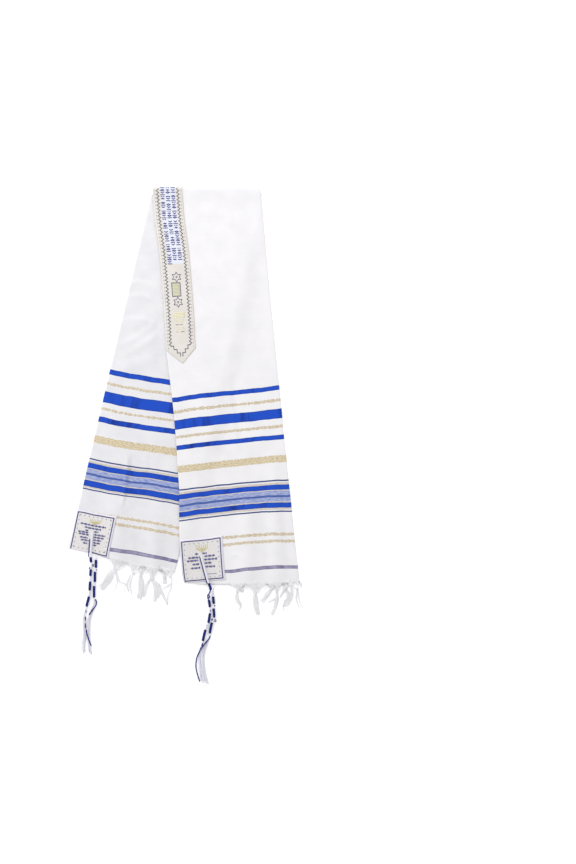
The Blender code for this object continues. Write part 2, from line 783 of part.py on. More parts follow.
def build_fringe(hem, materials):
    """A narrow strip parted from the hem by a seam's gap, with its locks fused to it."""
    sections = FRONT if hem.startswith("front") else REAR
    upper = hem.endswith("upper")
    low = WALL + LAYER_GAP if upper else 0.0
    locks = [lock for lock in LOCKS if lock.hem == hem]
    starts = [lock.root - lock.gather / 2 - 1 for lock in locks]
    ends = [lock.root + lock.gather / 2 + 1 for lock in locks]
    rings = []
    for x in even_steps(min(starts), max(ends), HEM_STRIP_PITCH):
        edge = hem_point(sections, x)
        base = low
        if upper:
            base = low + ridge_height(hem.split("_")[0], edge) * STRIP_REST
        near = edge.y - SEAM_GAP - HEM_TUCK
        rings.append(
            [
                Vector((x, near, base + WALL)),
                Vector((x, near - HEM_STRIP, base + WALL)),
                Vector((x, near - HEM_STRIP, base)),
                Vector((x, near, base)),
            ]
        )
    mesh = bmesh.new()
    rings_mesh(mesh, rings)
    strip = solid_object(f"fringe_{hem}", mesh, materials["fringe"])
    for tail in ("first", "second"):
        chosen = [lock for lock in locks if lock.tail == tail]
        if not chosen:
            continue
        mesh = bmesh.new()
        for lock in chosen:
            edge = hem_point(sections, lock.root)
            centre_z = low + WALL / 2
            if upper:
                centre_z += ridge_height(hem.split("_")[0], edge) * STRIP_REST
            rings_mesh(mesh, lock_rings(lock, edge.y - SEAM_GAP - HEM_TUCK, centre_z))
        fuse(strip, solid_object(f"{hem}_{tail}_locks", mesh, materials["fringe"]))
    return strip


# Corner tassels.


def round_ring(centre, heading, half_width, sides):
    side = Vector((-heading.y, heading.x, 0)).normalized()
    up = heading.normalized().cross(side)
    ring = []
    for i in range(sides):
        turn = 2 * math.pi * (i + 0.5) / sides
        ring.append(centre + (side * math.cos(turn) + up * math.sin(turn)) * half_width)
    return ring


def resample(points, distances):
    """Points at the given distances along a polyline."""
    found = []
    for distance in distances:
        left = distance
        for start, end in zip(points, points[1:]):
            span = (end - start).length
            if left <= span or end is points[-1]:
                found.append(start + (end - start) * min(left / span, 1.0))
                break
            left -= span
    return found


def headings(points):
    last = len(points) - 1
    return [points[min(i + 1, last)] - points[max(i - 1, 0)] for i in range(len(points))]


def stem_profile(stretches):
    """(share of the stem's length, half width) stations, with a waist at each change."""
    total = sum(stretch.length for stretch in stretches)
    stations = []
    start = 0.0
    for stretch in stretches:
        end = stretch.length - WAIST_INSET
        if stretch.kind == "knot":
            rings = ((WAIST_INSET, WAIST_SHARE), (stretch.length / 2, 1.0), (end, WAIST_SHARE))
        else:
            rings = ((WAIST_INSET, 1.0), (end, 1.0))
        for offset, scale in rings:
            stations.append(((start + offset) / total, stretch.half_width * scale))
        start += stretch.length
    return stations


def build_tassel(name, stretches, materials):
    route = [Vector(row[1:]) for row in TASSEL_ROUTE if row.tassel == name]
    curve = through(route, 6)
    length = sum((b - a).length for a, b in zip(curve, curve[1:]))
    stations = stem_profile(stretches)
    centres = resample(curve, [share * length for share, _ in stations])
    rings = []
    for centre, heading, (_, half_width) in zip(centres, headings(centres), stations):
        rings.append(round_ring(centre, heading, half_width, STEM_SIDES))
    mesh = bmesh.new()
    rings_mesh(mesh, rings)
    stem = solid_object(f"tassel_{name}", mesh, materials["tassel"])

    end = route[-1]
    bundle = [end] + [Vector(row[1:]) for row in THREAD_ROUTE if row.tassel == name]
    mesh = bmesh.new()
    curve = through(bundle, 4)
    length = sum((b - a).length for a, b in zip(curve, curve[1:]))
    for i, trim in enumerate(THREAD_TRIM):
        place, layer = i % 4 - 1.5, i // 4
        shares = even_steps(0, 1, 1 / THREAD_STATIONS)
        centres = resample(curve, [length * trim * share for share in shares])
        rings = []
        for share, centre, heading in zip(shares, centres, headings(centres)):
            side = Vector((-heading.y, heading.x, 0)).normalized()
            spread = THREAD_PITCH * (1 + THREAD_SPREAD * share)
            rise = (2 * layer - 1) * (THREAD_LAYER_HALF_GAP - THREAD_LAYER_CLOSING * share)
            moved = centre + side * place * spread + Vector((0, 0, rise - THREAD_SINK * share))
            if share == 0:
                moved -= heading.normalized() * THREAD_TUCK
            rings.append(round_ring(moved, heading, THREAD_HALF, THREAD_SIDES))
        rings_mesh(mesh, rings)
    fuse(stem, solid_object(f"{name}_threads", mesh, materials["tassel"]))
    return stem


def main():
    for old in list(bpy.data.objects):
        bpy.data.objects.remove(old, do_unlink=True)
    materials = make_materials()
    build_front(materials)
    build_rear(materials)
    build_hidden_layers(materials)
    build_neckband(materials)
    build_patch(
        "patch_front", FRONT, front_top, FRONT_STOPS, FRONT_COLUMNS, FRONT_PATCH, materials
    )
    build_patch(
        "patch_rear", REAR, rear_top, REAR_STOPS, REAR_COLUMNS, REAR_PATCH, materials
    )
    for hem in ("front_upper", "front_lower", "rear_upper", "rear_lower"):
        build_fringe(hem, materials)
    for name, stretches in TASSELS.items():
        build_tassel(name, stretches, materials)


main()
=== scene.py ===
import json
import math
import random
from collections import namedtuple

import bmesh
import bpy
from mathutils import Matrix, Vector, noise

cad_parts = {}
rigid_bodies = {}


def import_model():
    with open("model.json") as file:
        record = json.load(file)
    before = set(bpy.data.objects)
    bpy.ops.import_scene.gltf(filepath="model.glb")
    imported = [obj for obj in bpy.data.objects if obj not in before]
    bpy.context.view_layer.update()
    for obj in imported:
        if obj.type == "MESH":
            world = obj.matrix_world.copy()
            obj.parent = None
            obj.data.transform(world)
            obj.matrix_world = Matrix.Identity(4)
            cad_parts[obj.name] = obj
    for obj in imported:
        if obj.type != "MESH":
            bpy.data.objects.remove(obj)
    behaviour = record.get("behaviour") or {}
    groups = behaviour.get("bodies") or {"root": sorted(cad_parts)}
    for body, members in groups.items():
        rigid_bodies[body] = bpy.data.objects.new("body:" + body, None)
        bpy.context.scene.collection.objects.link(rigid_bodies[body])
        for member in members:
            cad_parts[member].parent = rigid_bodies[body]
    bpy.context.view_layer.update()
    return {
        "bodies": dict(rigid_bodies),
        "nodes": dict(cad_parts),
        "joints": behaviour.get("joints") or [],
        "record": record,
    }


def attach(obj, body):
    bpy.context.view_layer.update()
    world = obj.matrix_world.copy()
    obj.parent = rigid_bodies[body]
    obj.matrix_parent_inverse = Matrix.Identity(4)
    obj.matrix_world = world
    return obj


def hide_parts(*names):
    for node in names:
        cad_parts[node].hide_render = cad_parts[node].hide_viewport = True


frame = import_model()

# Looks for a woven prayer shawl (tallit) that lies folded on a pale floor: lengthwise,
# then across its middle, with the rear half fanned out to the left.
#
# Lengths are in millimetres up to the point where a mesh is made. A place on either half
# is given by "along", from the cross fold down to the hem, and "across", from the left
# selvage. Each half is one cloth laid double, so its upper layer turns round the
# lengthwise fold and comes back underneath.

MM = 0.001
random.seed(613)

# Cloth, a little thicker than the real one. The shell of each half lies inside its wall.
WALL = 1.1
SHELL = 1.0
LAYER_GAP = 0.4
SHEET = 2 * WALL + LAYER_GAP
FRONT_FOLD_FULLNESS = 1.2
REAR_FOLD_FULLNESS = 0.9
FOLD_REACH = 16.0
CROSS_FOLD_FULLNESS = 2.5
CROSS_FOLD_REACH = 30.0
CROSS_FOLD_LIP = 10.0
REAR_STACK = SHEET + REAR_FOLD_FULLNESS + LAYER_GAP
EASE_TO_FLOOR = 42.0
UNDER_INSET = 2.0

# Where the rows of each half begin below the cross fold, how far apart on the cloth the
# rows round that fold lie, and how much cloth the lengthwise fold takes up.
FRONT_START = 5.0
REAR_START = 15.5
WRAP_PITCH = 3.0
FOLD_CUT = 6.0

# Waver of the weft lines: how far, then the length of a wave across and along the cloth,
# and where in the noise it is taken.
WAVERS = ((0.9, 24, 55, 3), (0.35, 8, 16, 7))

# Swells of the cloth, a hand's width and a finger's apart: height, length, place in noise.
SWELLS = ((0.22, 46, 0), (0.07, 15, 90))

# The rear half is pressed flat from this far left of the front's selvage, over this far.
PRESSED_FROM = 6.0
PRESSED_EASE = 22.0

# Creases: how far each runs on past its ends, the share of its run over which it rises,
# and where the trough beside it lies, in reaches.
RUN_ON = 0.15
RISE_SHARE = 0.4
TROUGH_PLACE = 1.7

# Sewn-on pieces.
BAND_WIDTH = 62.0
BAND_START = 8.0
BAND_SHOULDER = 327.5
BAND_TIP = 356.0
BAND_TIP_WIDTH = 0.6
BAND_TURN_DEG = 120
BAND_LINES = (10.2, 52.0)
BAND_MIDDLE = 31.1
ORNAMENT_START = 1
ZIGZAG_PERIOD, ZIGZAG_SWING = 7.2, 4.8
MARK_STEP = 2.5
TRIM_RISE = 1.3
TRIM_WALL = 0.9
EDGE_DROP = 0.55
EDGE_ROUNDING = 1.1
THREAD_RISE = 0.35
FLAT_THREAD_RISE = 0.2
MARK_RISE = 0.25

# The whiter field behind the neckband's motifs: share of the width, and where it ends.
FIELD_FROM, FIELD_TO = 0.24, 0.75
FIELD_FOOT = 154.0

# The motifs: thread, height across the band, steps of the narrow and the wide kinds, the
# share of a step that a motif fills, and the gap after a group.
MOTIF_THREAD = 1.95
MOTIF_HEIGHT = 7.0
NARROW_STEP, WIDE_STEP = 3.6, 5.0
MOTIF_FILL = 0.62
GROUP_GAP = 3.4

# Three rows of motifs: distance from the band's middle, groups, first kind of motif.
MOTIF_ROWS = [
    (-10.9, (6, 3, 5, 3, 5, 4, 5), 0),
    (0.2, (3, 3, 7, 3, 3, 4, 6), 4),
    (11.2, (3, 6, 4, 4, 7, 6), 7),
]

# The panel on the neckband and its stars, then the loose dashes, as (along, across).
PANEL = [(193.5, 20.2), (193.5, 37.8), (220.6, 37.8), (220.6, 20.2), (193.5, 20.2)]
STARS = ((181.6, 31.2), (232.4, 30.8))
DASHES = [
    (1.1, [(278.2, 23), (278.2, 29.6)]), (1.1, [(278.5, 31), (278.5, 38)]),
    (0.9, [(292.7, 24), (292.7, 27)]), (0.9, [(293.2, 33), (293.2, 41)]),
]

# Straw-coloured lines on the neckband: width, along, then from and to across.
STRAW_LINES = [
    (2.4, 254.2, 19.0, 43.6), (2.4, 257.2, 19.6, 43.0), (2.4, 260.2, 19.0, 43.6),
    (2.4, 263.2, 19.8, 42.8), (1.2, 268.0, 22.0, 39.6), (1.2, 271.0, 22.8, 40.4),
    (1.2, 274.0, 22.0, 39.2), (1.2, 283.5, 24.0, 40.0), (1.2, 287.0, 23.0, 41.0),
    (1.2, 292.0, 26.0, 39.0),
]

# Yarn. Real warp ends are about half as thick, which is too fine to show one by one.
STRAND_PITCH = 0.85
STRAND_RADIUS = 0.45
TAIL_RADIUS = 0.52
TAIL_FULLNESS = 1.2
TAIL_YARNS_PER_MM = 1.2
WEB_START = 5.0
BRISTLE_PITCH = 0.7
CROSSING_REACH = 45.0

# How far below the shawl the table lies.
FLOOR_DROP = 0.4

# Mesh pitch and steps.
ROW_PITCH = 3.4
UPPER_COLUMNS = 66
UNDER_COLUMNS = 16
TURN_STEPS = 10
BAND_COLUMNS = 30
BAND_PITCH = 2.2
PATCH_STEPS = 40
RING_STEPS = 12
THREAD_STEPS = 22

Section = namedtuple("Section", "along left_x left_y right_x right_y")

FRONT = [
    Section(0, -71.0, 518.7, 153.7, 518.7),
    Section(66, -65.7, 449.9, 159.5, 453.6),
    Section(131, -56.7, 382.2, 165.3, 389.5),
    Section(213, -49.4, 296.8, 172.5, 308.7),
    Section(277, -45.0, 230.4, 178.7, 247.3),
    Section(320, -42.8, 185.8, 182.9, 206.0),
    Section(426, -29.4, 75.0, 193.1, 102.1),
    Section(474, -24.4, 23.5, 198.7, 49.4),
    Section(527, -20.6, -24.2, 202.9, -0.6),
    Section(569, -18.3, -68.7, 208.1, -45.6),
    Section(617, -15.0, -110.4, 212.5, -90.6),
    Section(674, -15.2, -162.5, 218.3, -142.3),
    Section(730, -14.4, -218.7, 224.3, -202.9),
    Section(803, -9.0, -286.4, 232.3, -272.9),
    Section(826, -6.0, -304.1, 234.8, -294.7),
    Section(834, -5.2, -309.3, 236.0, -304.1),
]

REAR = [
    Section(0, -70.0, 518.7, 160.4, 518.7),
    Section(204, -114.8, 326.2, 112.9, 311.2),
    Section(408, -159.6, 134.8, 65.2, 103.7),
    Section(456, -170.2, 89.2, 54.8, 58.5),
    Section(509, -182.3, 37.3, 42.3, 3.5),
    Section(551, -191.4, -2.1, 33.1, -36.0),
    Section(599, -202.1, -47.3, 22.3, -83.1),
    Section(664, -216.8, -110.6, 7.3, -148.3),
    Section(785, -244.3, -228.3, -19.0, -262.0),
    Section(797, -246.8, -238.5, -24.4, -283.3),
]

# How far each weft line drifts towards the hem at six places from selvage to fold.
FRONT_DRIFT = [
    (0, (0, 0, 0, 0, 0, 0)),
    (320, (0, 0, 0, 0, 0, 0)),
    (426, (0.0, -1.2, -1.0, 0.4, 1.3, 0.6)),
    (475, (0.2, -1.1, -0.5, 0.0, 0.9, 0.9)),
    (527, (0.9, -0.4, -0.5, -0.1, 0.1, 0.7)),
    (569, (0.4, 0.7, -0.5, -0.5, -0.4, 0.9)),
    (632, (2.4, 0.9, -0.8, -1.3, -1.0, 0.8)),
    (673, (2.8, 0.4, -0.6, -2.0, -1.0, 2.1)),
    (731, (2.0, 1.0, -0.6, -2.0, -1.8, 0.8)),
    (801, (0.0, 1.4, 3.2, 0.0, -0.8, 1.8)),
    (826, (0, 0.6, 1.0, 1.0, 0.6, 0)),
    (834, (-3.0, 1.7, 2.8, 3.8, 2.6, 0)),
]
REAR_DRIFT = [
    (0, (0, 0, 0, 0, 0, 0)),
    (204, (0, 0, 0, 0, 0, 0)),
    (412, (-3.2, -0.3, 1.0, 1.3, 1.0, 0)),
    (466, (-3.2, 0.2, 1.5, 0.9, 0.5, 0)),
    (513, (-2.6, 0.3, 1.0, 0.1, -0.4, 0)),
    (558, (-2.4, 0.4, 0.6, 0.0, -0.3, 0.2)),
    (615, (-2.0, 1.1, 1.2, -0.9, -0.4, 0.2)),
    (650, (-0.5, 1.8, 1.4, -1.0, -0.5, -0.2)),
    (711, (0, 0, -0.6, -0.8, -0.2, 2.0)),
    (781, (0, -1.0, -1.0, -1.3, 1.0, 4.4)),
    (790.4, (0, 0.7, 1.3, 1.2, 1.5, 1.8)),
    (797, (-4.5, -4.0, 0.0, 2.9, 1.9, 0)),
]

# Where the warp of each half lies along it: distance below the upper edge of the first
# blue stripe, then "along". The beat of the loom and the lie of the cloth both vary.
FRONT_WARP = [
    (0.0, 422.2), (4.2, 426.2), (29.0, 449.5), (57.2, 474.6), (83.5, 503.2), (105.7, 526.7),
    (150.5, 569.4), (192.1, 617.2), (199.5, 626.0), (206.9, 632.5), (226.0, 653.5),
    (243.5, 672.6), (257.5, 685.8), (304.0, 730.6), (318.8, 745.0), (372.7, 801.2),
    (405.5, 834.0),
]
REAR_WARP = [
    (-0.6, 406.8), (9.2, 418.2), (29.0, 437.9), (46.7, 454.9), (67.0, 478.2), (83.5, 491.1),
    (101.3, 507.7), (111.1, 519.5), (142.3, 548.9), (157.1, 565.4), (192.5, 600.9),
    (206.9, 614.8), (226.0, 631.4), (238.6, 643.8), (249.5, 656.2), (257.5, 661.8),
    (304.0, 712.2), (318.8, 727.0), (372.7, 780.7), (389.0, 797.0),
]

# The satin corner patches: corners of the piece and of its woven frame, as (along,
# across), from the top left one, clockwise, then width and height of the candelabrum and
# the height of the small marks.
Patch = namedtuple("Patch", "outline frame candelabrum mark_height")
FRONT_PATCH = Patch(
    [(725.8, 0.3), (724.8, 89.6), (822.5, 88.6), (829.0, 0.3)],
    [(730.7, 4.2), (729.4, 84.6), (817.0, 83.4), (824.0, 3.8)],
    (24, 16),
    4.4,
)
REAR_PATCH = Patch(
    [(707.6, 0.3), (710.0, 83.2), (797.5, 85.0), (795.0, 0.3)],
    [(711.8, 2.8), (714.3, 78.6), (793.2, 80.4), (790.4, 4.4)],
    (22, 10),
    3.6,
)

# The share of a patch's width and length that its plain hem takes.
PATCH_HEM = (0.045, 0.05)


# Weft stripes below the first blue edge: start, end and yarn. The edges of the gold ones
# are beaded: the gold floats only over some of the warp ends.
STRIPES = [
    (-0.6, 1.1, "deep blue"), (1.1, 7.6, "royal blue"), (7.6, 9.2, "deep blue"),
    (25.7, 27.0, "beaded gold"), (27.0, 31.0, "beige gold"), (31.0, 32.3, "beaded gold"),
    (46.7, 48.4, "deep blue"), (48.4, 65.3, "royal blue"), (65.3, 67.0, "deep blue"),
    (80.1, 81.4, "beaded gold"), (81.4, 85.4, "beige gold"), (85.4, 86.7, "beaded gold"),
    (101.3, 102.9, "deep blue"), (102.9, 109.5, "royal blue"), (109.5, 111.1, "deep blue"),
    (142.4, 143.2, "beaded gold"), (143.2, 156.2, "gold"), (156.2, 157.0, "beaded gold"),
    (190.6, 193.6, "navy weft"),
    (196.0, 200.6, "cream"),
    (200.6, 202.2, "deep blue"), (202.2, 211.0, "royal blue"), (211.0, 212.6, "deep blue"),
    (212.6, 214.4, "cream"), (214.4, 223.7, "heather"), (223.7, 228.1, "slate blue"),
    (228.1, 236.6, "heather"), (236.6, 238.6, "cream"),
    (238.6, 240.2, "deep blue"), (240.2, 247.9, "royal blue"), (247.9, 249.5, "deep blue"),
    (249.5, 254.0, "cream"),
    (256.0, 259.0, "navy weft"),
    (300.0, 301.3, "beaded gold"), (301.3, 305.2, "beige gold"), (305.2, 306.5, "beaded gold"),
    (314.7, 316.0, "beaded gold"), (316.0, 320.0, "beige gold"), (320.0, 321.3, "beaded gold"),
    (369.0, 370.4, "purple edge"), (370.4, 375.0, "purple grey"),
    (375.0, 376.4, "purple edge"),
]

# Soft folds and creases of each half, the broad ones first: where each runs in plan, how
# far it bows, the height of its crest, how far the slope reaches and the depth of the
# trough beside it.
Crease = namedtuple("Crease", "from_x from_y to_x to_y bow height reach trough")

CREASES = {
    "rear": [
        (-122, 236, -52, 244, -6, 1.2, 15, 0), (-134, 186, -62, 208, -8, 1.4, 15, 0),
        (-148, 140, -60, 172, -6, 1.6, 16, 0), (-166, 62, -120, -70, 3, 3.2, 19, 0),
        (-150, -120, -146, -292, 4, 4.4, 20, 0), (-66, -150, -70, -320, 3, 4.0, 18, 0),
        (-104, 368, -62, 350, 6, 0.4, 6, 0.4), (-120, 318, -58, 300, 9, 0.5, 5, 0.6),
        (-122, 290, -56, 270, 10, 0.55, 5.5, 0.6), (-132, 240, -62, 232, 7, 0.5, 5, 0.6),
        (-140, 188, -56, 240, -5, 0.6, 7, 0.4), (-128, 168, -56, 218, -4, 0.6, 7, 0.4),
        (-92, 112, -62, 40, 3, 0.8, 6, 0.4), (-126, -40, -128, -84, 2, 1.2, 6, 0.5),
        (-92, -46, -84, -76, 3, 1.1, 6, 0.7), (-200, 20, -178, -120, -4, 0.6, 8, 0.3),
        (-120, -180, -112, -270, 3, 0.8, 7, 0.3), (-122, -50, -134, -142, 2, 3.0, 3.2, 0.5),
    ],
    "front": [
        (20, 120, 60, -30, 4, 2.4, 22, 0), (128, -110, 122, -330, 4, 4.6, 22, 0),
        (186, -60, 192, -330, -3, 4.0, 20, 0), (90, 330, 116, 180, 4, 0.7, 28, 0),
        (-8, -12, 28, -120, 4, 0.7, 8, 0.3), (96, -244, 104, -252, 1, 0.9, 5, 0.6),
        (150, -150, 156, -290, 3, 0.7, 8, 0.4), (88, 112, 108, -24, -3, 0.9, 6, 0.9),
        (20, 470, 130, 430, 8, 0.5, 14, 0.3), (120, 380, 150, 250, -5, 0.6, 12, 0.3),
        (210, 20, 226, -250, 2, 0.5, 7, 0.3),
    ],
}

# Warp ends of each hem: where they gather, how wide, the knot that holds them, and the
# share across the gather where they part, with half the width of the gap there.
Gather = namedtuple("Gather", "root width knot_x knot_y gap hole")

GATHERS = {
    "front_upper": [
        Gather(106, 36, 107.0, -321, 0.05, 3.6), Gather(145.5, 42, 144.5, -327, 0.2, 1.3),
        Gather(184, 34, 187.5, -322, -0.35, 2.6), Gather(221, 27, 229.5, -318.5, 0.1, 5.4),
    ],
    "front_lower": [
        Gather(118.5, 13, 115.6, -319, 0.3, 0.8), Gather(171, 20, 176.5, -319.5, -0.4, 1.6),
        Gather(206, 22, 205.2, -318.5, 0.2, 2.4),
    ],
    "rear_upper": [
        Gather(-141, 34, -148, -280, 0.25, 3.2), Gather(-107, 27, -110.5, -288, 0.3, 2.4),
        Gather(-71, 27, -71.5, -296.5, 0.1, 1.4), Gather(-37.5, 29, -34.5, -294, -0.1, 3.4),
    ],
    "rear_lower": [
        Gather(-91, 24, -95.5, -289.5, 0.2, 1.6), Gather(-52, 24, -46, -293, 0.4, 1.4),
    ],
}

# Where the free warp ends begin, beside each corner patch.
HEM_FROM = {"front": 90.0, "rear": -158.0}

# Loose tails below the knots: width, how far the end narrows, and plan points.
TAILS = {
    "front_upper": [
        (7.5, 0.85, [(105.6, -321), (106.0, -341), (112.6, -353), (107.1, -369)]),
        (11.0, 0.35, [(142.4, -326), (143.8, -348), (150.5, -375)]),
        (7.5, 0.25, [(188.3, -321), (187.2, -346), (176.2, -376)]),
        (3.4, 0.5, [(231.0, -318), (229.0, -341), (236.9, -364)]),
        (2.6, 0.5, [(232.6, -319), (235.4, -345), (245.0, -361)]),
    ],
    "front_lower": [
        (8.0, 0.0, [(115.6, -318), (114.4, -326)]),
        (9.0, 0.1, [(177.4, -320), (167.0, -331), (155.8, -347)]),
        (4.4, 0.4, [(184.0, -338), (178.0, -342), (169.4, -347)]),
        (5.5, 0.3, [(212.6, -310), (203.3, -322), (194.0, -338)]),
        (6.5, 0.3, [(202.0, -317), (211.6, -328), (207.9, -342), (200.4, -357)]),
        (2.6, 0.5, [(205.0, -340), (201.0, -354), (201.9, -366)]),
        (6.5, 0.3, [(218.0, -312), (219.6, -331), (212.3, -348), (206.0, -357)]),
        (3.2, 0.1, [(235.2, -303), (238.4, -308), (239.8, -316)]),
    ],
    "rear_upper": [
        (14.0, 0.5, [(-151.5, -277), (-163.0, -298), (-177.5, -322)]),
        (4.5, 0.5, [(-156.0, -280), (-172.0, -304), (-186.0, -314)]),
        (3.2, 0.5, [(-147.1, -284), (-145.0, -309), (-156.0, -328)]),
        (3.4, 0.4, [(-144.6, -284), (-139.4, -303), (-126.3, -309), (-120.0, -326)]),
        (1.8, 0.5, [(-129.4, -308), (-129.0, -316), (-129.6, -328)]),
        (3.2, 0.4, [(-116.0, -287), (-123.3, -307), (-120.4, -326)]),
        (3.4, 0.4, [(-112.0, -287), (-117.5, -312), (-111.0, -341)]),
        (6.5, 0.3, [(-73.4, -294), (-82.6, -311), (-89.2, -337)]),
        (9.0, 0.2, [(-70.6, -298), (-63.8, -320), (-66.9, -347)]),
        (3.6, 0.4, [(-31.2, -295), (-31.6, -311), (-38.5, -334), (-39.4, -355)]),
        (3.2, 0.4, [(-31.6, -307), (-42.0, -314), (-51.0, -319)]),
    ],
    "rear_lower": [
        (11.0, 0.1, [(-96.0, -289), (-94.6, -313), (-99.4, -342)]),
        (6.0, 0.3, [(-68.5, -300), (-55.6, -314), (-57.9, -331), (-60.8, -341)]),
        (8.5, 0.0, [(-46.0, -292), (-45.6, -300), (-44.8, -309)]),
        (5.5, 0.5, [(-57.0, -315), (-47.0, -334), (-39.6, -353)]),
    ],
}

# Corner tassels: plan points and heights of the wound stem, then of its free threads.
STEM_ROUTES = {
    "rear_upper": [
        (-195.2, -198.9, 6.4), (-197.6, -222.0, 6.4), (-198.8, -240.0, 6.4),
        (-199.2, -250.0, 6.3), (-198.9, -258.5, 4.9), (-197.9, -269.0, 3.8),
        (-199.6, -284.0, 3.6), (-201.0, -311.5, 3.6), (-202.8, -333.0, 3.6),
        (-208.6, -357.0, 3.6), (-209.3, -363.0, 3.6),
    ],
    "rear_lower": [
        (-187.4, -252.9, 3.9), (-188.5, -262.0, 3.7), (-188.5, -274.0, 3.6),
        (-190.3, -283.5, 3.6), (-190.8, -303.6, 3.6), (-192.2, -313.5, 3.6),
        (-192.3, -336.0, 3.6), (-191.8, -342.0, 3.6),
    ],
    "front_upper": [
        (30.6, -249.5, 6.5), (35.6, -268.0, 6.5), (41.0, -288.0, 6.5),
        (44.8, -301.5, 6.5), (47.4, -308.5, 6.4), (50.4, -318.0, 6.0),
        (49.0, -325.5, 4.9), (46.0, -333.0, 4.1), (46.6, -341.0, 3.7),
        (49.0, -357.0, 3.6), (48.9, -369.5, 3.6), (45.6, -389.0, 3.6),
        (39.8, -403.0, 3.6), (34.0, -426.5, 3.6), (33.2, -431.0, 3.6),
    ],
    "front_lower": [
        (56.8, -316.4, 4.0), (55.3, -326.0, 3.8), (55.6, -336.0, 3.6),
        (56.8, -349.0, 3.6), (56.5, -358.5, 3.6), (57.7, -376.0, 3.6),
        (55.6, -384.5, 3.6), (52.6, -390.0, 3.6), (48.6, -410.5, 3.6), (48.8, -417.0, 3.6),
    ],
}
THREAD_ROUTES = {
    "rear_upper": [
        (-211.8, -373.0), (-212.0, -390.0), (-212.6, -408.0), (-213.8, -426.0),
        (-215.4, -453.0),
    ],
    "rear_lower": [
        (-190.4, -350.0), (-195.5, -361.5), (-200.5, -375.0), (-203.4, -392.0),
        (-204.4, -412.0), (-203.4, -435.0), (-201.0, -457.0),
    ],
    "front_upper": [(29.6, -446.0), (28.2, -467.0), (29.6, -488.0), (35.6, -514.0)],
    "front_lower": [(41.0, -435.4), (34.8, -456.0), (34.6, -481.0), (41.4, -520.0)],
}
# The stretches of each navy thread that show. Their ends dive under the white ones.
NAVY_THREADS = {
    "rear_upper": [
        [(-208.8, -360.0, 3.4), (-209.0, -364.0, 3.8), (-209.8, -369.0, 1.4)],
        [(-210.2, -375.5, 1.6), (-210.4, -380.0, 4.0), (-210.4, -385.0, 1.6)],
        [(-210.4, -389.0, 1.6), (-210.4, -395.0, 4.2), (-210.2, -401.0, 1.6)],
        [
            (-209.4, -403.0, 1.6), (-208.3, -407.0, 4.2), (-204.5, -420.8, 4.2),
            (-197.9, -437.3, 3.4),
        ],
    ],
    "rear_lower": [
        [
            (-189.6, -339.5, 3.8), (-187.2, -346.2, 3.6), (-188.9, -353.1, 3.6),
            (-194.4, -360.9, 4.0), (-200.5, -368.7, 4.2), (-203.0, -373.0, 1.4),
        ],
    ],
    "front_upper": [
        [
            (51.0, -319.0, 6.6), (47.8, -326.4, 7.4), (44.2, -332.0, 6.6),
            (44.8, -338.0, 5.2), (46.6, -342.5, 4.2),
        ],
        [(33.2, -431.0, 3.4), (32.6, -436.0, 3.6), (31.8, -443.0, 1.4)],
    ],
    "front_lower": [
        [
            (49.3, -414.6, 3.8), (47.6, -421.5, 4.4), (35.4, -435.4, 4.6),
            (26.7, -449.3, 3.6), (20.8, -464.9, 2.0), (19.8, -482.3, 1.6),
            (23.3, -497.9, 1.6), (27.6, -511.8, 1.6),
        ],
    ],
}
NAVY_RADIUS = 1.25
THREAD_TRIM = (1.0, 0.95, 0.98, 0.92, 0.96, 0.99, 0.94)

# Small navy loops that show beside the white knots: plan point, height and radius.
NAVY_LOOPS = {
    "rear_upper": [(-194.4, -269.5, 3.8, 1.7), (-201.6, -275.0, 3.6, 0.9)],
    "rear_lower": [(-188.0, -279.0, 4.6, 1.0)],
    "front_upper": [
        (50.4, -317.2, 6.4, 2.4), (46.4, -334.4, 6.0, 2.4), (49.6, -363.6, 5.2, 1.0),
        (42.6, -394.0, 5.0, 0.9),
    ],
    "front_lower": [
        (58.6, -353.5, 4.8, 1.0), (53.8, -382.4, 4.6, 1.6), (59.9, -384.4, 3.2, 1.9),
    ],
}

# Rows of small marks on the patches: share down the frame, then from and to across it.
PATCH_ROWS = {
    "front": [
        (0.32, 0.32, 0.415), (0.316, 0.515, 0.65), (0.405, 0.14, 0.43), (0.393, 0.565, 0.84),
        (0.478, 0.095, 0.40), (0.478, 0.55, 0.895), (0.57, 0.235, 0.43), (0.567, 0.555, 0.745),
        (0.665, 0.185, 0.425), (0.657, 0.57, 0.815),
    ],
    "rear": [
        (0.288, 0.115, 0.853), (0.368, 0.25, 0.725), (0.448, 0.285, 0.375), (0.445, 0.53, 0.66),
        (0.505, 0.097, 0.40), (0.525, 0.545, 0.87), (0.565, 0.122, 0.41), (0.597, 0.545, 0.855),
        (0.65, 0.176, 0.41), (0.672, 0.555, 0.80), (0.717, 0.215, 0.43), (0.75, 0.565, 0.765),
        (0.792, 0.29, 0.43), (0.817, 0.58, 0.69),
    ],
}

# Stretches of a stem from the eyelet down, as (kind, length).
STEMS = {
    "rear_upper": [
        ("cord", 53.5), ("winding", 10.5), ("knot", 14.5), ("winding", 14), ("knot", 11.5),
        ("winding", 18.5), ("knot", 12.5), ("winding", 21.5), ("knot", 8),
    ],
    "rear_lower": [
        ("knot", 5), ("winding", 16.5), ("knot", 8.5), ("winding", 21), ("knot", 8.7),
        ("winding", 23.5), ("knot", 6),
    ],
    "front_upper": [
        ("cord", 59.5), ("winding", 14.5), ("knot", 22.5), ("winding", 14.8), ("knot", 13),
        ("winding", 20.3), ("knot", 15.5), ("winding", 24), ("knot", 4.5),
    ],
    "front_lower": [
        ("knot", 17.6), ("winding", 14.8), ("knot", 9.7), ("winding", 18.3), ("knot", 11.5),
        ("winding", 22.5), ("knot", 6),
    ],
}


# Camera and light.


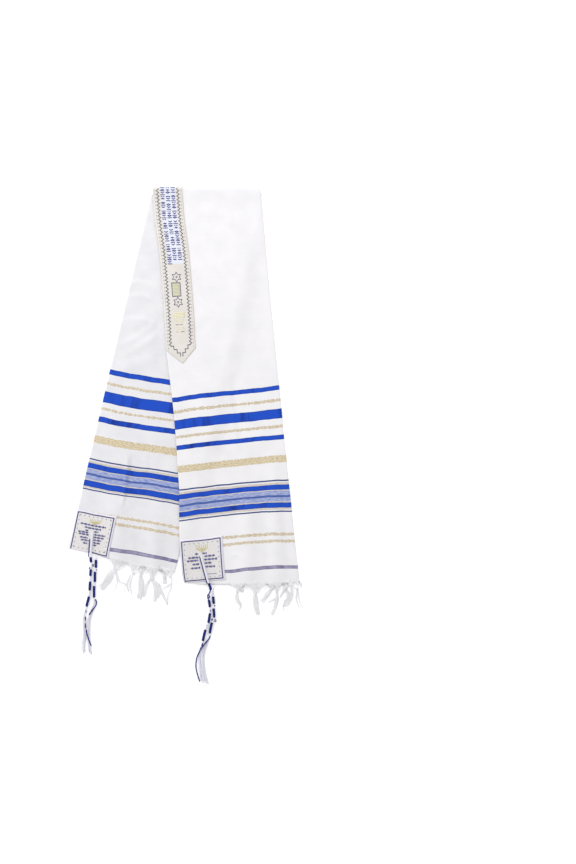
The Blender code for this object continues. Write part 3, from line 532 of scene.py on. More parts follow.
def place_camera():
    """Straight above the shawl, with 1.8 m of floor from top to bottom of the frame."""
    data = bpy.data.cameras.new("overhead")
    data.type = "PERSP"
    data.sensor_width = 36
    data.lens = 100
    camera = bpy.data.objects.new("overhead", data)
    camera.location = (0.2114, 0.0083, 5.0)
    bpy.context.collection.objects.link(camera)
    bpy.context.scene.camera = camera


def linear(hex_colour):
    """sRGB hex to the linear values that shaders take."""
    channels = [int(hex_colour[i : i + 2], 16) / 255 for i in (1, 3, 5)]
    return tuple(
        c / 12.92 if c <= 0.04045 else ((c + 0.055) / 1.055) ** 2.4 for c in channels
    ) + (1.0,)


def place_lights():
    scene = bpy.context.scene
    scene.view_settings.view_transform = "Standard"
    scene.world = bpy.data.worlds.new("studio fill")
    scene.world.use_nodes = True
    fill = scene.world.node_tree.nodes["Background"]
    fill.inputs["Color"].default_value = linear("#FFFFFF")
    fill.inputs["Strength"].default_value = 0.91
    for name, place, size, power in (
        ("window softbox", (-0.45, 2.8, 1.35), 1.5, 57),
        ("low side softbox", (-2.5, 0.7, 0.9), 1.0, 19),
    ):
        data = bpy.data.lights.new(name, "AREA")
        data.size = size
        data.energy = power
        light = bpy.data.objects.new(name, data)
        light.location = place
        aim = Vector((0.0, -0.05, 0.0)) - light.location
        light.rotation_euler = aim.to_track_quat("-Z", "Y").to_euler()
        bpy.context.collection.objects.link(light)


# Materials.


def add_node(tree, kind, settings=(), links=()):
    """Adds a node, sets its properties and sockets, and links earlier outputs to it."""
    node = tree.nodes.new(kind)
    for key, value in dict(settings).items():
        if isinstance(key, int) or key in node.inputs:
            node.inputs[key].default_value = value
        else:
            setattr(node, key, value)
    for key, output in dict(links).items():
        tree.links.new(output, node.inputs[key])
    return node


def new_material(name, settings):
    """A material and its tree, with the shader's own sockets set."""
    material = bpy.data.materials.new(name)
    material.use_nodes = True
    tree = material.node_tree
    shader = tree.nodes["Principled BSDF"]
    for key, value in settings.items():
        shader.inputs[key].default_value = value
    return material, tree, shader


def woven(
    name, light_hex, dark_hex, roughness, sheen, grain=(14.0, 420.0), slubs=0.3,
    thread_mm=1.2, spread=(0.32, 0.68),
):
    """Woven cloth on the piece's own UV map, in metres: a thread grid that is only relief,
    and streaks where the yarn runs thick and thin. "grain" counts streaks per metre across
    and along the cloth, "slubs" is their share of the shading, and "spread" the noise
    values that turn light and dark. Real threads and slubs are about 0.5 mm wide, which is
    too fine to show, so threads are drawn 0.9 to 1.2 mm and streaks 2 mm wide or more."""
    material, tree, shader = new_material(
        name,
        {
            "Roughness": roughness,
            "Specular IOR Level": 0.18,
            "Sheen Weight": sheen,
            "Sheen Roughness": 0.5,
            "Sheen Tint": linear(light_hex),
        },
    )
    place = add_node(tree, "ShaderNodeUVMap", {"uv_map": "cut"}).outputs["UV"]
    stretched = add_node(
        tree, "ShaderNodeMapping", {"Scale": (*grain, 1.0)}, {"Vector": place}
    )
    slub = add_node(
        tree,
        "ShaderNodeTexNoise",
        {"Scale": 1.0, "Detail": 3.0, "Roughness": 0.6},
        {"Vector": stretched.outputs["Vector"]},
    )
    cloud = add_node(
        tree,
        "ShaderNodeTexNoise",
        {"Scale": 30.0, "Detail": 2.0},
        {"Vector": place},
    )
    mixed = add_node(
        tree,
        "ShaderNodeMix",
        {"data_type": "FLOAT", "Factor": 1 - slubs},
        {"A": slub.outputs["Fac"], "B": cloud.outputs["Fac"]},
    )
    shade = add_node(
        tree,
        "ShaderNodeMapRange",
        {"From Min": spread[0], "From Max": spread[1]},
        {"Value": mixed.outputs["Result"]},
    )
    colour = add_node(
        tree,
        "ShaderNodeMix",
        {"data_type": "RGBA", 6: linear(light_hex), 7: linear(dark_hex)},
        {"Factor": shade.outputs["Result"]},
    )
    waves = []
    for direction in ("X", "Y"):
        waves.append(
            add_node(
                tree,
                "ShaderNodeTexWave",
                {"bands_direction": direction, "Scale": 0.314 / (thread_mm * MM) / 2},
                {"Vector": place},
            ).outputs["Fac"]
        )
    threads = add_node(
        tree, "ShaderNodeMath", {"operation": "MAXIMUM"}, {0: waves[0], 1: waves[1]}
    )
    bump = add_node(
        tree,
        "ShaderNodeBump",
        {"Strength": 0.12, "Distance": 0.4 * MM},
        {"Height": threads.outputs["Value"]},
    )
    tree.links.new(colour.outputs[2], shader.inputs["Base Color"])
    tree.links.new(bump.outputs["Normal"], shader.inputs["Normal"])
    return material


def spun(name, light_hex, dark_hex, roughness, sheen):
    """Spun yarn on object coordinates: fibres that catch light and small soft shadows."""
    material, tree, shader = new_material(
        name,
        {
            "Roughness": roughness,
            "Specular IOR Level": 0.25,
            "Sheen Weight": sheen,
            "Sheen Roughness": 0.4,
            "Sheen Tint": linear(light_hex),
        },
    )
    place = add_node(tree, "ShaderNodeTexCoord").outputs["Object"]
    fibre = add_node(
        tree,
        "ShaderNodeTexNoise",
        {"Scale": 900.0, "Detail": 3.0, "Roughness": 0.7},
        {"Vector": place},
    )
    colour = add_node(
        tree,
        "ShaderNodeMix",
        {"data_type": "RGBA", 6: linear(light_hex), 7: linear(dark_hex)},
        {"Factor": fibre.outputs["Fac"]},
    )
    bump = add_node(
        tree,
        "ShaderNodeBump",
        {"Strength": 0.25, "Distance": 0.3 * MM},
        {"Height": fibre.outputs["Fac"]},
    )
    tree.links.new(colour.outputs[2], shader.inputs["Base Color"])
    tree.links.new(bump.outputs["Normal"], shader.inputs["Normal"])
    return material


def make_materials():
    """Acrylic plain weave takes light evenly and looks soft and dry; the satin stripes
    float more yarn on top, so they are smoother and brighter along the weft."""
    heather = dict(grain=(90.0, 620.0), slubs=1.0, spread=(0.34, 0.66))
    flecks = dict(grain=(210.0, 520.0), slubs=0.95)
    beads = dict(grain=(400.0, 50.0), slubs=1.0, spread=(0.44, 0.54))
    # Painted shade: long dark streaks along the warp on the satin stand in for the shade and dulled sheen
    # where the cloth was creased.
    painted_crease_shade = dict(grain=(34.0, 5.0), slubs=0.95, spread=(0.52, 0.68))
    packed = dict(grain=(70.0, 30.0), slubs=0.95, spread=(0.4, 0.68))
    cloth = {
        # Acrylic plain weave takes light evenly and looks soft and dry.
        "white": woven("white acrylic plain weave", "#E1DFE1", "#DAD9DB", 0.86, 0.2),
        # Painted shade: the rear half's white is darker than the front's to stand in for the shade that
        # half lies in; the cloth is the same.
        "rear white, painted shade": woven("white plain weave, painted shade", "#DAD9DC", "#D2D1D5", 0.86, 0.2),
        # Satin floats more yarn on top, so it is smoother and deeper in colour.
        # The satin's dark streaks along the warp are painted crease shade.
        "royal blue": woven("royal blue satin stripe", "#1546B5", "#0C2D86", 0.6, 0.0, **painted_crease_shade),
        "deep blue": woven("deep blue satin edge", "#1D439E", "#163480", 0.65, 0.0, **painted_crease_shade),
        # Metallised film laid in with beige yarn: pale gold with a dull glitter.
        "gold": woven("gold film and beige weft", "#DDD2B9", "#AA9873", 0.5, 0.05, **flecks),
        "beige gold": woven("beige and gold fine weft", "#DBD0BD", "#A6977B", 0.5, 0.05, **flecks),
        "beaded gold": woven("gold floats over white", "#E1DFE1", "#B7A788", 0.6, 0.05, **beads),
        # Dyed weft over a white warp: matt, and flecked where the white shows through.
        "cream": woven("cream weft", "#D3CCC3", "#B0A9A2", 0.8, 0.05, **flecks),
        "heather": woven("blue grey heather weft", "#B0B5CB", "#6579B8", 0.8, 0.05, **heather),
        "navy weft": woven("navy grey fine weft", "#4A5480", "#3A4472", 0.75, 0.1, **heather),
        "slate blue": woven("slate blue fine weft", "#5268A6", "#3C4F92", 0.75, 0.1, **heather),
        "purple grey": woven("purple grey weft", "#9792AA", "#6E698A", 0.75, 0.05, **packed),
        "purple edge": woven("purple grey weft, packed", "#837E9A", "#5F5A7C", 0.75, 0.05, **packed),
        # Close jacquard ribbon and satin: finer than the cloth, with a faint gloss.
        "band": woven("ivory jacquard neckband", "#D6D2CC", "#CCC8C1", 0.6, 0.1, thread_mm=1.0),
        "field": woven("white jacquard field", "#DADCE6", "#D0D3DF", 0.6, 0.1, thread_mm=1.0),
        "patch": woven("ivory grey satin patch", "#DDDAD9", "#C9C6C6", 0.5, 0.1, thread_mm=0.9, **flecks),
        "margin": woven("pearl satin hem of patch", "#D8D6E0", "#D0CED8", 0.45, 0.1, thread_mm=0.9),
        # Spun yarn is dull and fluffy. The twisted cotton of the tassels is firmer.
        "yarn": spun("white fringe yarn", "#EDEDEF", "#DBDBDE", 0.9, 0.25),
        "tassel yarn": spun("white cotton cord", "#EBEAF0", "#D2D0DE", 0.85, 0.2),
        "navy yarn": spun("navy blue cotton yarn", "#182B82", "#0F1A58", 0.7, 0.1),
        # Weaving threads lie proud of the ribbon. Only the metallic one shines a little.
        "lilac thread": spun("navy lilac weaving thread", "#393C86", "#2C2E6C", 0.65, 0.05),
        "frame thread": spun("purple navy frame thread", "#4B4878", "#393764", 0.65, 0.05),
        "grey thread": spun("grey border thread", "#625F75", "#4E4B60", 0.7, 0.05),
        "gold thread": spun("pale gold metallic thread", "#CBC48E", "#B2A96C", 0.4, 0.05),
        "olive thread": spun("pale olive thread", "#C4C69C", "#A9AC80", 0.65, 0.05),
        "straw thread": spun("pale straw thread", "#E0DAB8", "#D3CCA4", 0.7, 0.05),
    }
    # A little light from below, so that nothing throws a hard shadow on it.
    floor, _, shader = new_material("back-lit white acrylic", {"Roughness": 0.9})
    shader.inputs["Base Color"].default_value = linear("#FCFCFC")
    shader.inputs["Specular IOR Level"].default_value = 0.1
    shader.inputs["Emission Color"].default_value = linear("#FFFFFF")
    shader.inputs["Emission Strength"].default_value = 0.16
    cloth["floor"] = floor
    return cloth


# Curves through the tables.


def hermite(rows, column, along):
    """Smooth value of one column of a section table at a distance along the cloth."""
    last = len(rows) - 1
    i = 0
    while i < last - 1 and along > rows[i + 1].along:
        i += 1

    def slope(k):
        low, high = rows[max(k - 1, 0)], rows[min(k + 1, last)]
        return (getattr(high, column) - getattr(low, column)) / (high.along - low.along)

    start, end = rows[i], rows[i + 1]
    span = end.along - start.along
    u = (along - start.along) / span
    return (
        getattr(start, column) * (2 * u**3 - 3 * u**2 + 1)
        + getattr(end, column) * (3 * u**2 - 2 * u**3)
        + slope(i) * span * (u**3 - 2 * u**2 + u)
        + slope(i + 1) * span * (u**3 - u**2)
    )


def through(points, steps):
    """Points on a Catmull-Rom curve through the given ones, ends included."""
    found = []
    for i in range(len(points) - 1):
        before = points[max(i - 1, 0)]
        start, end = points[i], points[i + 1]
        after = points[min(i + 2, len(points) - 1)]
        for k in range(steps):
            u = k / steps
            found.append(
                0.5
                * (
                    2 * start
                    + (end - before) * u
                    + (2 * before - 5 * start + 4 * end - after) * u**2
                    + (3 * start - before - 3 * end + after) * u**3
                )
            )
    found.append(points[-1])
    return found


def smooth(value):
    value = min(max(value, 0.0), 1.0)
    return value * value * (3 - 2 * value)


def bell(value):
    return math.exp(-value * value)


def even_steps(start, end, pitch):
    """Evenly spaced values from start to end, both included, about one pitch apart."""
    count = max(1, math.ceil((end - start) / pitch - 0.01))
    return [start + (end - start) * i / count for i in range(count + 1)]


def steps_through(stops, pitch):
    values = [stops[0]]
    for start, end in zip(stops, stops[1:]):
        values += even_steps(start, end, pitch)[1:]
    return values


# The lie of the two halves.

Row = namedtuple("Row", "along left run down drift width")


def between(table, place):
    """The table's second column at a place in its first, linear between entries. Beyond
    the ends it goes on at a slope of one."""
    if place <= table[0][0]:
        return table[0][1] + place - table[0][0]
    for (low, start), (high, end) in zip(table, table[1:]):
        if place <= high:
            return start + (end - start) * (place - low) / (high - low)
    return table[-1][1] + place - table[-1][0]


def drift_row(table, along):
    """The six drift values of a weft line."""
    along = min(max(along, table[0][0]), table[-1][0])
    for (low, start), (high, end) in zip(table, table[1:]):
        if along <= high:
            share = (along - low) / (high - low)
            return [a + (b - a) * share for a, b in zip(start, end)]
    return table[-1][1]


def row_at(half, along):
    """One weft line of a half, laid in plan."""
    left, right = (
        Vector((hermite(half.sections, x, along), hermite(half.sections, y, along)))
        for x, y in (("left_x", "left_y"), ("right_x", "right_y"))
    )
    run = right - left
    down = Vector((run.y, -run.x)).normalized()
    return Row(along, left, run, down, drift_row(half.drift, along), run.length)


def on_row(row, across):
    """A plan point. The line wavers a little, as a hand-laid weft does."""
    share = across / row.width
    column = min(max(share, 0.0), 0.9999) * (len(row.drift) - 1)
    i = int(column)
    drift = row.drift[i] + (row.drift[i + 1] - row.drift[i]) * smooth(column - i)
    waver = 0.0
    for size, wide, long, place in WAVERS:
        waver += size * noise.noise(Vector((across / wide, row.along / long, place)))
    edge = smooth(share / 0.05) * smooth((1 - share) / 0.05)
    return row.left + row.run * share + row.down * (drift + waver * edge)


def beyond_rear_fold(point):
    """How far a plan point lies to the right of the rear half's lengthwise fold."""
    top = Vector((REAR[0].right_x, REAR[0].right_y))
    foot = Vector((REAR[-1].right_x, REAR[-1].right_y))
    run = (foot - top).normalized()
    return (point - top).dot(Vector((-run.y, run.x)))


def lift(point):
    """Height of the top of the rear half under a plan point, eased down to the floor."""
    return REAR_STACK * (1 - smooth(beyond_rear_fold(point) / EASE_TO_FLOOR))


def crease_table(half):
    """Each crease of a half as its start, run, side direction and sizes."""
    made = []
    for row in CREASES[half]:
        crease = Crease(*row)
        start = Vector((crease.from_x, crease.from_y))
        run = Vector((crease.to_x, crease.to_y)) - start
        side = Vector((-run.y, run.x)).normalized()
        made.append((start, run, run.length_squared, side, crease))
    return made


CREASE_TABLES = {half: crease_table(half) for half in CREASES}


def crease_height(half, point):
    """Added height of the folds and creases of one half at a plan point."""
    total = 0.0
    for start, run, square, side, crease in CREASE_TABLES[half]:
        offset = point - start
        share = offset.dot(run) / square
        if not -RUN_ON < share < 1 + RUN_ON:
            continue
        bow = crease.bow * 4 * share * (1 - share) if 0 < share < 1 else 0
        off = (offset.dot(side) - bow) / crease.reach
        if abs(off) > 4:
            continue
        ends = smooth((share + RUN_ON) / RISE_SHARE) * smooth((1 + RUN_ON - share) / RISE_SHARE)
        profile = bell(off) - crease.trough * bell(off - TROUGH_PLACE)
        total += crease.height * ends * profile
    return total


def unevenness(point):
    """The cloth is never quite flat: height of its low swells at a plan point."""
    return sum(
        height * noise.noise(Vector((point.x, point.y, place)) / length)
        for height, length, place in SWELLS
    )


def clear_of_front(point):
    """1 where the rear half shows, easing to 0 under the front half's left selvage."""
    along = min(max(FRONT[0].left_y - point.y, 0.0), FRONT[-1].along)
    edge = hermite(FRONT, "left_x", along)
    return smooth((edge - PRESSED_FROM - point.x) / PRESSED_EASE)


def front_top(row, across):
    """Height of the front half's upper surface."""
    point = on_row(row, across)
    from_fold = row.width - across
    folds = crease_height("front", point) * smooth((from_fold - 8) / 24)
    return (
        lift(point)
        + SHEET
        + FRONT_FOLD_FULLNESS * bell(from_fold / FOLD_REACH)
        + CROSS_FOLD_FULLNESS * bell(row.along / CROSS_FOLD_REACH)
        + folds
        + unevenness(point) * smooth(from_fold / 12)
    )


def front_base(row, across):
    """Height that the underside of the front half rests at."""
    return lift(on_row(row, across)) + CROSS_FOLD_FULLNESS * bell(
        row.along / CROSS_FOLD_REACH
    )


def rear_top(row, across):
    """Height of the rear half's upper surface, kept low under the front half."""
    point = on_row(row, across)
    from_fold = row.width - across
    free = clear_of_front(point)
    return (
        SHEET
        + REAR_FOLD_FULLNESS * bell(from_fold / FOLD_REACH)
        + (crease_height("rear", point) + unevenness(point)) * free
    )


def rear_base(row, across):
    return 0.0


Half = namedtuple("Half", "name start sections drift warp top base patch")
FRONT_HALF = Half(
    "front", FRONT_START, FRONT, FRONT_DRIFT, FRONT_WARP, front_top, front_base, FRONT_PATCH
)
REAR_HALF = Half(
    "rear", REAR_START, REAR, REAR_DRIFT, REAR_WARP, rear_top, rear_base, REAR_PATCH
)


def on_half(half, along, across, rise=0.0):
    """A point above the upper surface of a half, in millimetres. The first few millimetres
    of the front one bend down round the cross fold."""
    row = row_at(half, along)
    point = on_row(row, across)
    height = half.top(row, across)
    if half is FRONT_HALF and along < height / 2:
        radius = height / 2
        turn = (radius - along) / radius
        y = FRONT[0].left_y - radius + (radius + rise) * math.sin(turn)
        return Vector((point.x, y, radius + (radius + rise) * math.cos(turn)))
    return Vector((point.x, point.y, height + rise))


# Meshes.


def piece_of(name, mesh, materials, replaced):
    """A finished piece from a bmesh in millimetres, riding on the shawl."""
    for vert in mesh.verts:
        vert.co *= MM
    data = bpy.data.meshes.new(name)
    mesh.to_mesh(data)
    mesh.free()
    data.shade_smooth()
    for material in materials:
        data.materials.append(material)
    piece = bpy.data.objects.new(name, data)
    bpy.context.collection.objects.link(piece)
    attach(piece, "root")
    if replaced:
        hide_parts(*replaced)
    return piece


def give_wall(piece, wall):
    """Thickness towards the inside, applied as by hand."""
    solidify = piece.modifiers.new("cloth wall", "SOLIDIFY")
    solidify.thickness = wall * MM
    solidify.offset = -1
    solidify.use_even_offset = True
    solidify.use_rim = True
    bpy.ops.object.select_all(action="DESELECT")
    piece.select_set(True)
    bpy.context.view_layer.objects.active = piece
    bpy.ops.object.modifier_apply(modifier=solidify.name)
    piece.data.shade_smooth()


def add_grid(mesh, rows, cut, slots):
    """Faces through rows of points. "cut" gives each point's place on the flat cloth, and
    "slots" each face's material."""
    layer = mesh.loops.layers.uv.new("cut")
    grid = [[mesh.verts.new(point) for point in row] for row in rows]
    for i in range(len(grid) - 1):
        for j in range(len(grid[i]) - 1):
            corners = ((i, j), (i + 1, j), (i + 1, j + 1), (i, j + 1))
            face = mesh.faces.new([grid[a][b] for a, b in corners])
            face.material_index = slots(i, j)
            for loop, (a, b) in zip(face.loops, corners):
                loop[layer].uv = cut(a, b)


YARNS = (
    "white", "royal blue", "deep blue", "gold", "cream", "heather", "slate blue",
    "navy weft", "purple grey", "purple edge", "beige gold", "beaded gold",
)


def yarn_at(half, along):
    """The weft yarn at a distance along a half."""
    for start, end, yarn in STRIPES:
        if between(half.warp, start) < along < between(half.warp, end):
            return yarn
    return YARNS[0]


def half_row(half, along):
    """Stations of one weft line: upper layer, turn round the lengthwise fold, and the
    under layer back to the selvage. Each is (plan point, height, depth below the top)."""
    row = row_at(half, along)
    radius = (half.top(row, row.width) - half.base(row, row.width)) / 2
    reach = row.width - radius
    stations = []
    for i in range(UPPER_COLUMNS + 1):
        across = reach * i / UPPER_COLUMNS
        stations.append((on_row(row, across), half.top(row, across), 0.0))
    crown = half.top(row, reach)
    for step in range(1, TURN_STEPS + 1):
        turn = math.pi * step / TURN_STEPS
        depth = radius * (1 - math.cos(turn))
        point = on_row(row, reach + radius * math.sin(turn))
        stations.append((point, crown - depth, depth))
    for i in range(1, UNDER_COLUMNS + 1):
        across = reach + (UNDER_INSET - reach) * i / UNDER_COLUMNS
        point = on_row(row, across)
        base = half.base(row, across)
        stations.append((point, base, half.top(row, across) - base))
    return stations


def cut_across(half):
    """Distance from the upper selvage of each station, on the flat cloth."""
    width = row_at(half, half.warp[0][1]).width
    upper = [width * i / UPPER_COLUMNS for i in range(UPPER_COLUMNS + 1)]
    turn = [width + FOLD_CUT * i / TURN_STEPS for i in range(1, TURN_STEPS + 1)]
    under = [
        width + FOLD_CUT + (width - UNDER_INSET) * i / UNDER_COLUMNS
        for i in range(1, UNDER_COLUMNS + 1)
    ]
    return upper + turn + under


def cross_fold_turn(stations, outward=0.0, turn_limit=180):
    """Rows that carry a section round the cross fold, last first, with the lip that lies
    underneath where the turn is a full half circle."""
    rows = []
    centre_y = FRONT[0].left_y
    for step in range(1, TURN_STEPS + 1):
        turn = 180 * step / TURN_STEPS
        if turn > turn_limit + 1:
            break
        angle = math.radians(turn)
        row = []
        for point, height, depth in stations:
            outer = (height + depth) / 2
            radius = outer - depth + outward
            y = centre_y - outer + radius * math.sin(angle)
            row.append(Vector((point.x, y, outer + radius * math.cos(angle))))
        rows.append(row)
    if turn_limit == 180:
        rows.append([Vector((p.x, p.y - CROSS_FOLD_LIP, p.z)) for p in rows[-1]])
    return rows[::-1]


def stripe_stops(half):
    """Row places that fall on every stripe's edge."""
    edges = set()
    for low, high, _ in STRIPES:
        edges |= {between(half.warp, low), between(half.warp, high)}
    foot = half.sections[-1].along
    stops = [half.start] + sorted(edge for edge in edges if edge < foot - 1) + [foot]
    return steps_through(stops, ROW_PITCH)


def build_half(half, ground, materials, node):
    """One half of the shawl: a cloth laid double, with its stripes woven in."""
    alongs = stripe_stops(half)
    rows = []
    for along in alongs:
        stations = half_row(half, along)
        rows.append([Vector((point.x, point.y, height)) for point, height, _ in stations])
    if half is FRONT_HALF:
        wrap = cross_fold_turn(half_row(half, half.start))
        rows = wrap + rows
        alongs = [half.start - WRAP_PITCH * (len(wrap) - i) for i in range(len(wrap))] + alongs
    across = cut_across(half)
    yarns = [yarn_at(half, (a + b) / 2) for a, b in zip(alongs, alongs[1:])]
    mesh = bmesh.new()
    add_grid(
        mesh,
        rows,
        lambda i, j: (across[j] * MM, -alongs[i] * MM),
        lambda i, j: YARNS.index(yarns[i]),
    )
    piece = piece_of(
        f"shawl_{half.name}_half",
        mesh,
        [materials[ground]] + [materials[yarn] for yarn in YARNS[1:]],
        (node, "shawl_hidden_layers"),
    )
    give_wall(piece, SHELL)


# The neckband and the corner patches.


def edge_roll(distance):
    """Trim edges are turned under, so they round off towards the cloth."""
    return -EDGE_DROP * math.exp(-max(distance, 0.0) / EDGE_ROUNDING)


def build_neckband(materials):
    """Band along the front's selvage, from its point to just over the cross fold."""
    columns = even_steps(0, 1, 1 / BAND_COLUMNS)
    alongs = steps_through([BAND_START, BAND_SHOULDER, BAND_TIP], BAND_PITCH)
    rows = []
    for along in alongs:
        inset = max(0.0, along - BAND_SHOULDER) / (BAND_TIP - BAND_SHOULDER)
        half_width = BAND_WIDTH / 2 * (1 - inset) + BAND_TIP_WIDTH / 2 * inset
        row = []
        for share in columns:
            across = BAND_WIDTH / 2 + (share * 2 - 1) * half_width
            from_edge = half_width - abs(share * 2 - 1) * half_width
            row.append(on_half(FRONT_HALF, along, across, TRIM_RISE + edge_roll(from_edge)))
        rows.append(row)
    first = row_at(FRONT_HALF, FRONT_START)
    stations = []
    for share in columns:
        across = share * BAND_WIDTH
        stations.append((on_row(first, across), front_top(first, across), 0.0))
    wrap = cross_fold_turn(stations, TRIM_RISE, BAND_TURN_DEG)
    crown = []
    for point, height, _ in stations:
        crown.append(Vector((point.x, FRONT[0].left_y - height / 2, height + TRIM_RISE)))
    rows = wrap + [crown] + rows
    distances = [BAND_START - WRAP_PITCH * k for k in range(len(wrap) + 1, 0, -1)] + alongs

    def field(i, j):
        inside = FIELD_FROM < columns[j] < FIELD_TO and distances[i] < FIELD_FOOT
        return 1 if inside else 0

    mesh = bmesh.new()
    add_grid(
        mesh,
        rows,
        lambda i, j: (columns[j] * BAND_WIDTH * MM, -distances[i] * MM),
        field,
    )
    band = piece_of(
        "neckband_strip",
        mesh,
        [materials["band"], materials["field"]],
        ("neckband",),
    )
    give_wall(band, TRIM_WALL)
    return band


def on_quad(corners, right, down):
    """(along, across) at shares rightwards and downwards between four corners."""
    top = [a + (b - a) * right for a, b in zip(corners[0], corners[1])]
    foot = [a + (b - a) * right for a, b in zip(corners[3], corners[2])]
    return tuple(a + (b - a) * down for a, b in zip(top, foot))


def patch_size(patch):
    """Width and length of a patch."""
    (top, near), (_, far), (foot, _), _ = patch.outline
    return far - near, foot - top


def build_patch(half, materials):
    """A satin corner square, laid on the half's corner with its edges turned under."""
    wide, tall = patch_size(half.patch)
    columns, downs = (
        steps_through([0, hem, 1 - hem, 1], 1 / PATCH_STEPS) for hem in PATCH_HEM
    )
    rows = []
    for down in downs:
        row = []
        for right in columns:
            along, across = on_quad(half.patch.outline, right, down)
            from_edge = min(min(right, 1 - right) * wide, min(down, 1 - down) * tall)
            row.append(on_half(half, along, across, TRIM_RISE + edge_roll(from_edge)))
        rows.append(row)

    def margin(i, j):
        places = zip((columns[j], downs[i]), PATCH_HEM)
        inside = all(hem - 0.005 < place < 0.995 - hem for place, hem in places)
        return 0 if inside else 1

    mesh = bmesh.new()
    add_grid(
        mesh,
        rows,
        lambda i, j: (columns[j] * wide * MM, -downs[i] * tall * MM),
        margin,
    )
    piece = piece_of(
        f"{half.name}_corner_patch",
        mesh,
        [materials["patch"], materials["margin"]],
        (f"patch_{half.name}",),
    )
    give_wall(piece, TRIM_WALL)
    return piece


# Woven and stitched ornament, as low flat threads.


def add_thread(mesh, spots, width, rise):
    """A flat raised thread through spots, mitred at its bends and closed at its ends."""
    rings = []
    last = len(spots) - 1
    closed = (spots[0] - spots[-1]).length < 1e-6
    for i, spot in enumerate(spots):
        if closed and i == last:
            break
        before = spots[i - 1] if i else (spots[-2] if closed else spot)
        after = spots[i + 1] if i < last else spot
        into = (spot - before).xy.normalized() if before is not spot else None
        out = (after - spot).xy.normalized() if after is not spot else None
        heading = ((into or out) + (out or into)).normalized()
        side = Vector((-heading.y, heading.x, 0))
        mitre = 1 / max(0.5, heading.dot(out or into))
        outer, inner = side * width / 2 * mitre, side * width / 2 * mitre * 0.7
        low, high = Vector((0, 0, -0.25)), Vector((0, 0, rise))
        ring = (spot + outer + low, spot - outer + low, spot - inner + high, spot + inner + high)
        rings.append([mesh.verts.new(point) for point in ring])
    pairs = list(zip(rings, rings[1:])) + ([(rings[-1], rings[0])] if closed else [])
    for near, far in pairs:
        for i in range(4):
            j = (i + 1) % 4
            mesh.faces.new((near[i], far[i], far[j], near[j]))
    if not closed:
        mesh.faces.new(rings[0])
        mesh.faces.new(rings[-1][::-1])


def ornament(name, half, strokes, material, rise):
    """One piece of ornament in one thread. A stroke is (width, [(along, across), ...])."""
    mesh = bmesh.new()
    for width, path in strokes:
        spots = [on_half(half, along, across, TRIM_RISE) for along, across in path]
        add_thread(mesh, spots, width, rise)
    bmesh.ops.recalc_face_normals(mesh, faces=mesh.faces)
    piece_of(name, mesh, [material], ())


def spaced_path(corners, pitch):
    """A path through (along, across) corners with points one pitch apart."""
    path = [corners[0]]
    for (a0, b0), (a1, b1) in zip(corners, corners[1:]):
        count = max(1, round(math.hypot(a1 - a0, b1 - b0) / pitch))
        path += [
            (a0 + (a1 - a0) * k / count, b0 + (b1 - b0) * k / count)
            for k in range(1, count + 1)
        ]
    return path


def zigzag(start, end, across, period, swing, mirror):
    """A zigzag that runs along the band."""
    count = round((end - start) / (period / 2))
    path = []
    for i in range(count + 1):
        offset = swing / 2 * (1 if i % 2 else -1) * mirror
        path.append((start + (end - start) * i / count, across + offset))
    return path


def lozenge(along, across, long, wide):
    return [
        (along - long / 2, across), (along, across + wide / 2),
        (along + long / 2, across), (along, across - wide / 2), (along - long / 2, across),
    ]


def motif(kind, along, across, long, tall):
    """One traditional border motif, as paths."""
    low, high = across - tall / 2, across + tall / 2
    if kind == "bar":
        return [[(along, low - 1), (along, high + 1)]]
    if kind == "lozenge":
        return [lozenge(along, across, long, tall)]
    if kind == "chevron":
        return [[(along - long / 2, low), (along + long / 3, across), (along - long / 2, high)]]
    if kind == "cross":
        return [
            [(along, low), (along, high)],
            [(along - long / 2, across), (along + long / 2, across)],
        ]
    return [
        [(along, low), (along, across - 0.8)], [(along, across + 0.8), (along, high)],
    ]


def motif_row(across, groups, first):
    """A running border in groups with a gap after each. It starts at a kind of motif."""
    kinds = ("bar", "lozenge", "chevron", "bar", "dashes", "cross", "lozenge", "bar", "chevron")
    strokes = []
    place = ORNAMENT_START
    for size in groups:
        for _ in range(size):
            kind = kinds[first % len(kinds)]
            step = NARROW_STEP if kind in ("bar", "dashes") else WIDE_STEP
            middle = place + step / 2
            for path in motif(kind, middle, across, step * MOTIF_FILL, MOTIF_HEIGHT):
                strokes.append((MOTIF_THREAD, path))
            place += step
            first += 1
        place += GROUP_GAP
    return strokes


def star_outline(along, across, radius):
    """A six-pointed star as one outline of twelve corners."""
    path = []
    for i in range(13):
        reach = radius if i % 2 == 0 else radius * 0.58
        turn = math.pi * i / 6
        path.append((along + reach * math.cos(turn), across + reach * math.sin(turn)))
    return path


def border_strokes():
    """A zigzag down each side with ticks outside it, and steps in to the band's point."""
    foot = BAND_SHOULDER - 7
    strokes = []
    for across, mirror in ((BAND_LINES[0], 1), (BAND_LINES[1], -1)):
        line = zigzag(ORNAMENT_START, foot, across, ZIGZAG_PERIOD, ZIGZAG_SWING, mirror)
        strokes.append((1.6, line))
        for along, _ in line[1::2]:
            outside = across - mirror * 5.4
            strokes.append((1.1, [(along + 2.8, outside), (along + 4.4, outside)]))
        stairs = [(foot, across)]
        for i in range(1, 4):
            place = across + (BAND_MIDDLE - 2.4 * mirror - across) * i / 3
            stairs.append((stairs[-1][0], place))
            stairs.append((foot + ZIGZAG_PERIOD * i, place))
        strokes.append((1.7, stairs))
    return strokes


